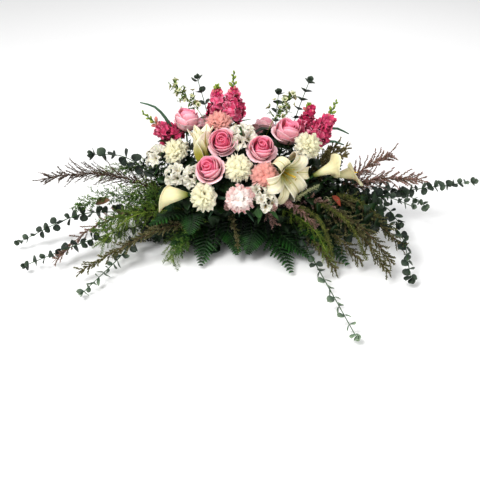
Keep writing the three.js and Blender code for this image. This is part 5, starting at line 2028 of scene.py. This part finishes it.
# Height in the foam at which most greens end
LOW = 47.0
GREENS: tuple[Green, ...] = (
    Eucalyptus("eucalyptus_1", (-190, -14, LOW), (
        ((-262, -26, 56), (-430, -74, 84), (-602, -122, 24)),
    ), 40, toward=0.8, big=26, small=19),
    Eucalyptus("eucalyptus_2", (-182, -30, LOW), (
        ((-250, -66, 54), (-400, -170, 60), (-557, -239, 26)),
    ), 41, toward=0.8, big=25, small=19),
    Eucalyptus("eucalyptus_2_low", (-206, -41, 49), (
        ((-280, -140, 50), (-336, -250, 36), (-395, -354, 20)),
    ), 141, node="eucalyptus_2", big=27, small=20, spacing=17, pale=0.6, form=OVAL_LEAF),
    Eucalyptus("eucalyptus_3", (-190, 6, 66), (
        ((-250, 12, 150), (-330, 18, 206), (-412, 20, 212)),
    ), 42, start=0.4, big=31, small=25, spacing=22, toward=0.7),
    Eucalyptus("eucalyptus_4", (190, 4, LOW), (
        ((262, 6, 70), (430, 6, 112), (605, 0, 142)),
        ((274, 20, 104), (386, 30, 108), (471, -42, 90)),
        ((290, 0, 90), (372, -20, 104), (436, -40, 88)),
    ), 43, spacing=15, pale=0.3, toward=0.6, big=24, small=18),
    Eucalyptus("eucalyptus_5", (184, -28, LOW), (
        ((250, -66, 66), (372, -170, 90), (392, -298, 22)),
        ((280, -10, 96), (365, -28, 80), (397, -86, 60)),
    ), 44, tumble=0.3, toward=0.8, outlook=(0, 0.2, 1), big=26),
    Eucalyptus("eucalyptus_6", (96, -30, 60), (
        ((110, -96, 80), (168, -300, 50), (232, -528, 20)),
    ), 45, big=22, small=18, spacing=29, pale=1.0, tumble=0.25, toward=0.9, outlook=(0, 0.4, 1)),
    Eucalyptus("eucalyptus_7", (80, 34, 60), (
        ((92, 52, 150), (126, 84, 290), (163, 120, 382)),
        ((84, 66, 180), (74, 92, 270), (80, 104, 352)),
    ), 46, start=0.4, big=26, small=20, spacing=20, tumble=0.15),
    Eucalyptus("eucalyptus_8", (-74, 30, 60), (
        ((-92, 74, 200), (-112, 92, 310), (-134, 96, 396)),
    ), 47, start=0.5, big=24, small=19, spacing=26),
    Fern("fern_1", (-80, -26, LOW), (
        ((-92, -92, 60), (-108, -150, 44), (-120, -212, 12)),
        ((-112, -96, 64), (-150, -140, 66), (-196, -176, 50)),
        ((-72, -100, 62), (-44, -146, 56), (-30, -196, 34)),
    ), 51),
    Fern("fern_2", (36, -26, LOW), (
        ((46, -96, 56), (78, -170, 36), (105, -244, 12)),
        ((30, -98, 62), (10, -144, 52), (-2, -186, 30)),
        ((62, -98, 56), (104, -150, 46), (150, -196, 26)),
    ), 52),
    Fern("fern_3", (150, -26, LOW), (
        ((164, -92, 60), (204, -156, 50), (246, -214, 16)),
        ((156, -98, 66), (160, -140, 76), (174, -190, 70)),
    ), 53),
    Fern("fern_4", (-136, -44, 68), (
        ((-160, -92, 98), (-196, -140, 116), (-244, -186, 112)),
        ((-147, -108, 104), (-142, -152, 112), (-146, -196, 94)),
    ), 54),
    Fern("fern_5", (-60, 26, LOW), (
        ((-76, 92, 60), (-108, 168, 44), (-140, 244, 12)),
        ((-62, 98, 62), (-28, 150, 56), (-16, 206, 34)),
        ((-88, 98, 68), (-138, 136, 80), (-192, 176, 66)),
    ), 55),
    Fern("fern_6", (86, 26, LOW), (
        ((104, 92, 60), (146, 168, 44), (188, 240, 12)),
        ((92, 98, 62), (66, 150, 56), (54, 206, 34)),
        ((122, 98, 68), (176, 136, 80), (228, 170, 66)),
    ), 56),
    PlumeFern("plume_fern_1", (-186, -44, 62), (
        ((-240, -84, 96), (-300, -140, 108), (-372, -190, 60)),
        ((-267, 44, 125), (-308, -13, 105), (-331, -125, 40)),
    ), 61, (
        ((-190, 30, 70), (-265, 50, 150), (-338, 74, 146), (-410, 80, 126)),
        ((-150, -40, 70), (-163, -84, 86), (-182, -127, 50), (-196, -190, 16)),
    )),
    PlumeFern("plume_fern_1_myrtle", (-194, 10, 66), (
        ((-264, -40, 120), (-364, -46, 122), (-450, -76, 104)),
    ), 64, (
        ((-186, 40, 80), (-240, 56, 140), (-290, 60, 160), (-336, 56, 150)),
        ((-196, -30, 66), (-262, -70, 110), (-330, -110, 96), (-392, -150, 70)),
        ((-120, -44, 70), (-136, -100, 84), (-160, -150, 60), (-178, -200, 40)),
    ), "plume_fern_1", branches=62, needles_each=22, longest=52, needle=10, girth=1.1, hang=-0.1,
              finish=MYRTLE),
    PlumeFern("plume_fern_2", (88, -34, 62), (
        ((102, -94, 102), (168, -170, 84), (204, -232, 30)),
    ), 62, (
        ((196, -20, 66), (231, -17, 110), (308, -46, 95), (345, -86, 60)),
    ), branches=60, needles_each=36, longest=44),
    PlumeFern("plume_fern_2_foxtail", (96, -40, 70), (
        ((112, -100, 124), (176, -170, 116), (210, -226, 40)),
    ), 63, (
        ((150, -40, 70), (186, -110, 130), (250, -176, 110), (292, -236, 40)),
        ((176, -30, 70), (240, -70, 134), (312, -110, 116), (356, -150, 60)),
    ), "plume_fern_2", branches=190, needles_each=7, longest=12, needle=6, girth=0.75, hang=0.1,
              finish=FOXTAIL),
    PlumeFern("plume_fern_2_comb", (110, -44, 90), (
        ((120, -100, 130), (128, -134, 167), (175, -126, 193)),
    ), 65, (
        ((180, -40, 80), (200, -84, 140), (210, -104, 132), (228, -116, 88)),
    ), "plume_fern_2", branches=90, needles_each=5, longest=9, needle=5, girth=0.8, start=0.55,
              finish=PALE_COMB),
    Heather("heather_1", (-194, 22, 60), (
        ((-262, 26, 110), (-400, 16, 158), (-548, 0, 150)),
    ), 71, branches=92, finish=HEATHER_MAUVE),
    Heather("heather_2", (-120, -28, LOW), (
        ((-134, -90, 76), (-250, -190, 88), (-420, -280, 30)),
    ), 72, longest=46),
    Heather("heather_2_flowering", (-120, -28, LOW), (
        ((-196, -24, 66), (-283, -76, 90), (-394, -124, 75), (-486, -236, 34)),
    ), 75, node="heather_2", longest=52, branches=52, finish=HEATHER_PINK),
    Heather("heather_2_sprig", (-40, -44, 70), (
        ((-43, -86, 86), (-32, -144, 60), (-26, -186, 36)),
    ), 76, (
        ((-180, -40, 60), (-235, -104, 64), (-290, -153, 50), (-342, -200, 28)),
    ), node="heather_2", longest=15, branches=90),
    Heather("heather_3", (194, 24, 60), (
        ((262, 30, 108), (350, 22, 138), (459, 10, 142)),
    ), 73, (
        ((230, 20, 100), (290, 24, 150), (340, 30, 186), (380, 34, 204)),
    ), longest=66, finish=HEATHER_PINK, branches=110, girth=1.5),
    Heather("heather_3_olive", (160, 10, 80), (
        ((186, 8, 150), (222, 34, 204), (263, 40, 222)),
    ), 77, (
        ((150, 20, 80), (190, 26, 180), (214, 34, 216), (238, 40, 232)),
        ((160, 20, 80), (200, 24, 170), (236, 30, 196), (262, 30, 206)),
        ((140, 10, 80), (160, 8, 160), (184, 14, 190), (210, 24, 212)),
    ), node="heather_3", branches=120, longest=42, finish=HEATHER_TAN),
    Heather("heather_4", (160, -32, 60), (
        ((196, -92, 96), (270, -180, 90), (340, -280, 30)),
    ), 74, (
        ((150, -42, 70), (173, -90, 84), (231, -170, 60), (282, -225, 28)),
        ((120, -44, 70), (134, -93, 74), (175, -178, 50), (213, -258, 26)),
        ((150, -36, 74), (210, -110, 116), (290, -190, 96), (352, -262, 46)),
        ((170, -30, 80), (250, -80, 124), (330, -150, 96), (384, -214, 60)),
    ), longest=58, branches=84),
    Heather("heather_4_flowering", (10, -44, 80), (
        ((35, -75, 110), (50, -105, 100), (67, -130, 84)),
    ), 78, (
        ((60, -44, 90), (90, -90, 130), (130, -130, 124), (168, -160, 96)),
        ((120, -40, 90), (150, -80, 130), (196, -110, 130), (240, -136, 104)),
    ), node="heather_4", longest=40, branches=80, finish=HEATHER_PINK, girth=1.4),
    Heather("heather_4_tufts", (-30, -44, 90), (
        ((-40, -90, 120), (-50, -140, 150), (-54, -178, 156)),
    ), 79, (
        ((30, -44, 90), (44, -100, 120), (56, -150, 150), (62, -192, 163)),
        ((70, -44, 90), (84, -90, 120), (96, -130, 146), (102, -164, 154)),
    ), node="heather_4", longest=16, branches=170, needles_each=14, girth=1.6, start=0.55,
            finish=HEATHER_PINK),
    *(
        Collar(f"fern_{k}_collar", seed=COLLAR_SEED + k, node=f"fern_{k}", turn_from=turn_from,
               turn_to=turn_to, low=low, steep=steep)
        for k, turn_from, turn_to, low, steep in COLLARS
    ),
    Salal("salal_1", (-34, -38, 68), (
        ((-50, -72, 78), (-112, -76, 79), (-188, -72, 79)),
    ), 81, (
        ((-30, -60, 60), (-70, -88, 58), (-150, -90, 56), (-232, -84, 56), (-262, -40, 58), (-266, 30, 58)),
    )),
    Salal("salal_2", (6, -40, 70), (
        ((26, -72, 79), (98, -76, 80), (168, -72, 76)),
    ), 82, (
        ((30, -60, 60), (70, -88, 58), (150, -90, 56), (232, -84, 56), (262, -40, 58), (266, 30, 58)),
    )),
    Salal("salal_3", (150, 38, 68), (
        ((120, 72, 79), (0, 80, 82), (-176, 72, 79)),
    ), 83, (
        ((262, 40, 58), (220, 84, 58), (110, 90, 60), (-110, 90, 60), (-220, 84, 58), (-258, 44, 58)),
    ), clusters=26),
    Shoots("salal_1_shoots", seed=84, node="salal_1", tips=(
        (-150, -60, 214), (-110, -70, 226), (-20, -90, 236), (-178, 10, 222), (-210, -60, 176),
        (-60, -120, 190), (-160, -110, 160),
    )),
    Shoots("salal_2_shoots", seed=85, node="salal_2", long=46, tips=(
        (126, -50, 226), (70, -60, 236), (172, -30, 212), (100, -90, 190), (215, -40, 172), (10, -130, 170),
        (150, -90, 160), (250, -56, 132), (232, -100, 112), (276, -14, 138), (196, -124, 104),
        (296, -50, 108), (258, 40, 130), (300, -110, 86), (258, -150, 74), (330, -56, 96), (206, -160, 66),
        (300, -136, 112), (322, -100, 122), (284, -158, 98), (312, -164, 78), (344, -112, 92),
    )),
    Shoots("salal_3_shoots", seed=86, node="salal_3", tips=(
        (60, 50, 240), (-60, 60, 250), (10, 40, 262), (130, 70, 214), (-130, 80, 214), (10, 110, 214),
        (90, 110, 200), (-70, 120, 200), (180, 60, 170), (-190, 70, 170),
    )),
)

BLOOMS: tuple[Bloom | Spike, ...] = (
    Rose("rose_1", (-158, 13, 309), (0.1, 0.15, 0.97), seed=1),
    Rose("rose_2", (-66, -85, 290), (-0.1, -0.75, 0.66), seed=2),
    Rose("rose_3", (31, -100, 278), (0.1, -0.55, 0.83), seed=3),
    Rose("rose_4", (-96, -140, 242), (-0.3, -0.55, 0.78), seed=4),
    Rose("rose_5", (99, -6, 283), (0.3, -0.1, 0.93), size=40, seed=5),
    Rose("rose_6", (-115, 112, 246), (-0.3, 0.7, 0.65), seed=6),
    Rose("rose_7", (44, 124, 240), (0.2, 0.75, 0.65), seed=7),
    Carnation("carnation_1", (-183, -30, 240), (-0.5, -0.6, 0.6), root=(-127, -14, 57), seed=11),
    Carnation("carnation_2", (-27, -129, 240), (-0.1, -0.85, 0.5), seed=12),
    Carnation("carnation_3", (-110, -162, 178), (-0.35, -0.85, 0.3), seed=13),
    Carnation("carnation_4", (148, -48, 264), (0.4, -0.6, 0.7), seed=14),
    Carnation("carnation_5", (-75, -8, 306), (-0.1, -0.4, 0.9), seed=15, finish=CARNATION_PINK),
    Carnation("carnation_6", (38, -134, 222), (0.05, -0.85, 0.5), (29, -18.4, 57), seed=16,
              finish=CARNATION_PINK),
    Carnation("carnation_7", (-22, -178, 180), (-0.05, -0.9, 0.4), seed=17, finish=CARNATION_BLUSH),
    Carnation("carnation_8", (-28, 140, 215), (-0.1, 0.85, 0.5), seed=18),
    Lily("lily_1", (98, -126, 222), (0.6, -0.78, 0.0), (67.3, -25.2, 57), seed=21, size=60, neck_below=46,
         open_share=0.9, sag=0.5),
    Lily("lily_2", (-116, -70, 280), (-0.1, 0.1, 0.97), (-85.8, -10, 57), seed=22, size=66, neck_below=70,
         open_share=0.1, tall=1.5, finish=LILY_YOUNG),
    Calla("calla_1", (-200, -142, 172), (-0.94, 0.12, -0.1), (-148, -32, 57), seed=23, size=100,
          neck_below=46, twist=1.9, full=1),
    Calla("calla_2", (206, -80, 217), (0.88, 0.1, 0.36), twist=-2.2, seed=24),
    Calla("calla_3", (262, -52, 190), (0.95, 0.1, 0.12), twist=-1.4, seed=25),
    Snapdragon("snapdragon_1", (-84, 45, 296), (-80, 52, 388), seed=31, bud_share=0.22),
    Snapdragon("snapdragon_2", (-40, 34, 300), (-38, 44, 425), seed=32, bud_share=0.45),
    Snapdragon("snapdragon_3", (147, 40, 248), (158, 52, 338), seed=33, bud_share=0.22),
    Snapdragon("snapdragon_4", (176, 6, 252), (224, 30, 352), seed=34, bud_share=0.5),
    Snapdragon("snapdragon_5", (-186, 24, 250), (-272, 40, 318), (-138, 28, 57), seed=35, bud_share=0.5),
    Alstroemeria("alstroemeria_1", (32, -172, 198), (0.1, -0.85, 0.5), (19.8, -32.8, 57), seed=91, size=32,
                 mouth=17),
    Alstroemeria("alstroemeria_2", (48, -190, 178), (0.2, -0.9, 0.4), (34.3, -38.4, 57), seed=92, size=31,
                 mouth=17),
    Alstroemeria("alstroemeria_3", (-142, -120, 212), (-0.35, -0.8, 0.45), seed=93),
    Alstroemeria("alstroemeria_4", (-196, -88, 200), (-0.55, -0.7, 0.4), seed=94),
    Alstroemeria("alstroemeria_5", (-252, -26, 230), (-0.7, -0.5, 0.5), seed=95),
    Alstroemeria("alstroemeria_6", (-16, -76, 304), (0, -0.65, 0.75), (-6.6, -5.2, 57), seed=96, size=44,
                 mouth=24),
    Sprig("white_sprig_1", (-130, 60, 318), (-190, 66, 385), seed=97),
    Sprig("white_sprig_2", (66, 62, 292), (112, 84, 348), seed=98),
)


@dataclass
class Studio:
    """A plain pale floor, soft light from above, the front and behind, and the camera.

    Places and lengths are in metres, `lens` and `sensor` in millimetres, and `down` in degrees.
    """

    camera_at: Triple = (-0.022, -1.9218, 1.0714)
    down: float = 30.0
    lens: float = 60.0
    sensor: float = 36.0
    floor_half: float = 12.0
    floor_grey: float = 0.93
    floor_rough: float = 0.9
    floor_shine: float = 0.1
    surround: float = 0.66
    exposure: float = 0.05
    gamma: float = 0.87
    aim_height: float = 0.15

    def add_camera(self) -> None:
        """Sets the camera at the photograph's angle."""
        lens = bpy.data.cameras.new("camera")
        lens.lens, lens.sensor_width = self.lens, self.sensor
        camera = bpy.data.objects.new("camera", lens)
        bpy.context.scene.collection.objects.link(camera)
        camera.location = self.camera_at
        camera.rotation_euler = (math.radians(90 - self.down), 0, 0)
        bpy.context.scene.camera = camera

    def add_floor(self) -> None:
        """Lays a pale matt floor."""
        h = self.floor_half
        mesh = bpy.data.meshes.new("floor")
        mesh.from_pydata([(-h, -h, -MM), (h, -h, -MM), (h, h, -MM), (-h, h, -MM)], [], [(0, 1, 2, 3)])
        floor = bpy.data.objects.new("floor", mesh)
        bpy.context.scene.collection.objects.link(floor)
        made = bpy.data.materials.new("pale_floor")
        made.use_nodes = True
        shader = made.node_tree.nodes["Principled BSDF"]
        shader.inputs["Base Color"].default_value = (*[self.floor_grey] * 3, 1)
        shader.inputs["Roughness"].default_value = self.floor_rough
        shader.inputs["Specular IOR Level"].default_value = self.floor_shine
        mesh.materials.append(made)

    def add_lights(self) -> None:
        """Hangs a key light over the left shoulder, fill on the right, one behind, and a pale surround."""
        lamps = (
            ("key", (-1.3, -1.7, 2.6), 1.3, 84.0),
            ("fill", (1.9, -2.0, 1.2), 2.0, 18.0),
            ("back", (0.3, 1.9, 2.0), 1.6, 12.0),
        )
        for name, at, size, power in lamps:
            light = bpy.data.lights.new(name, "AREA")
            light.size, light.energy = size, power
            lamp = bpy.data.objects.new(name, light)
            bpy.context.scene.collection.objects.link(lamp)
            lamp.location = at
            aim = Vector((0, 0, self.aim_height)) - Vector(at)
            lamp.rotation_euler = aim.to_track_quat("-Z", "Y").to_euler()
        world = bpy.data.worlds.new("surround")
        bpy.context.scene.world = world
        world.use_nodes = True
        glow = world.node_tree.nodes["Background"]
        glow.inputs["Color"].default_value = (1, 1, 1, 1)
        glow.inputs["Strength"].default_value = self.surround

    def build(self) -> None:
        """Sets up the studio."""
        self.add_camera()
        self.add_floor()
        self.add_lights()
        view = bpy.context.scene.view_settings
        view.view_transform = "Standard"
        view.look = "None"
        view.exposure = self.exposure
        view.gamma = self.gamma


def write_sizes() -> None:
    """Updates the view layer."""
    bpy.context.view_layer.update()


def main() -> None:
    """Builds the studio, the holder, the greens and the flowers."""
    logging.basicConfig(level=logging.INFO, format="%(message)s")
    Studio().build()
    for part in Moulded:
        part.dress()
    for member in GREENS + BLOOMS:
        member.build()
    Accents().build()
    write_sizes()


if __name__ == "__main__":
    main()
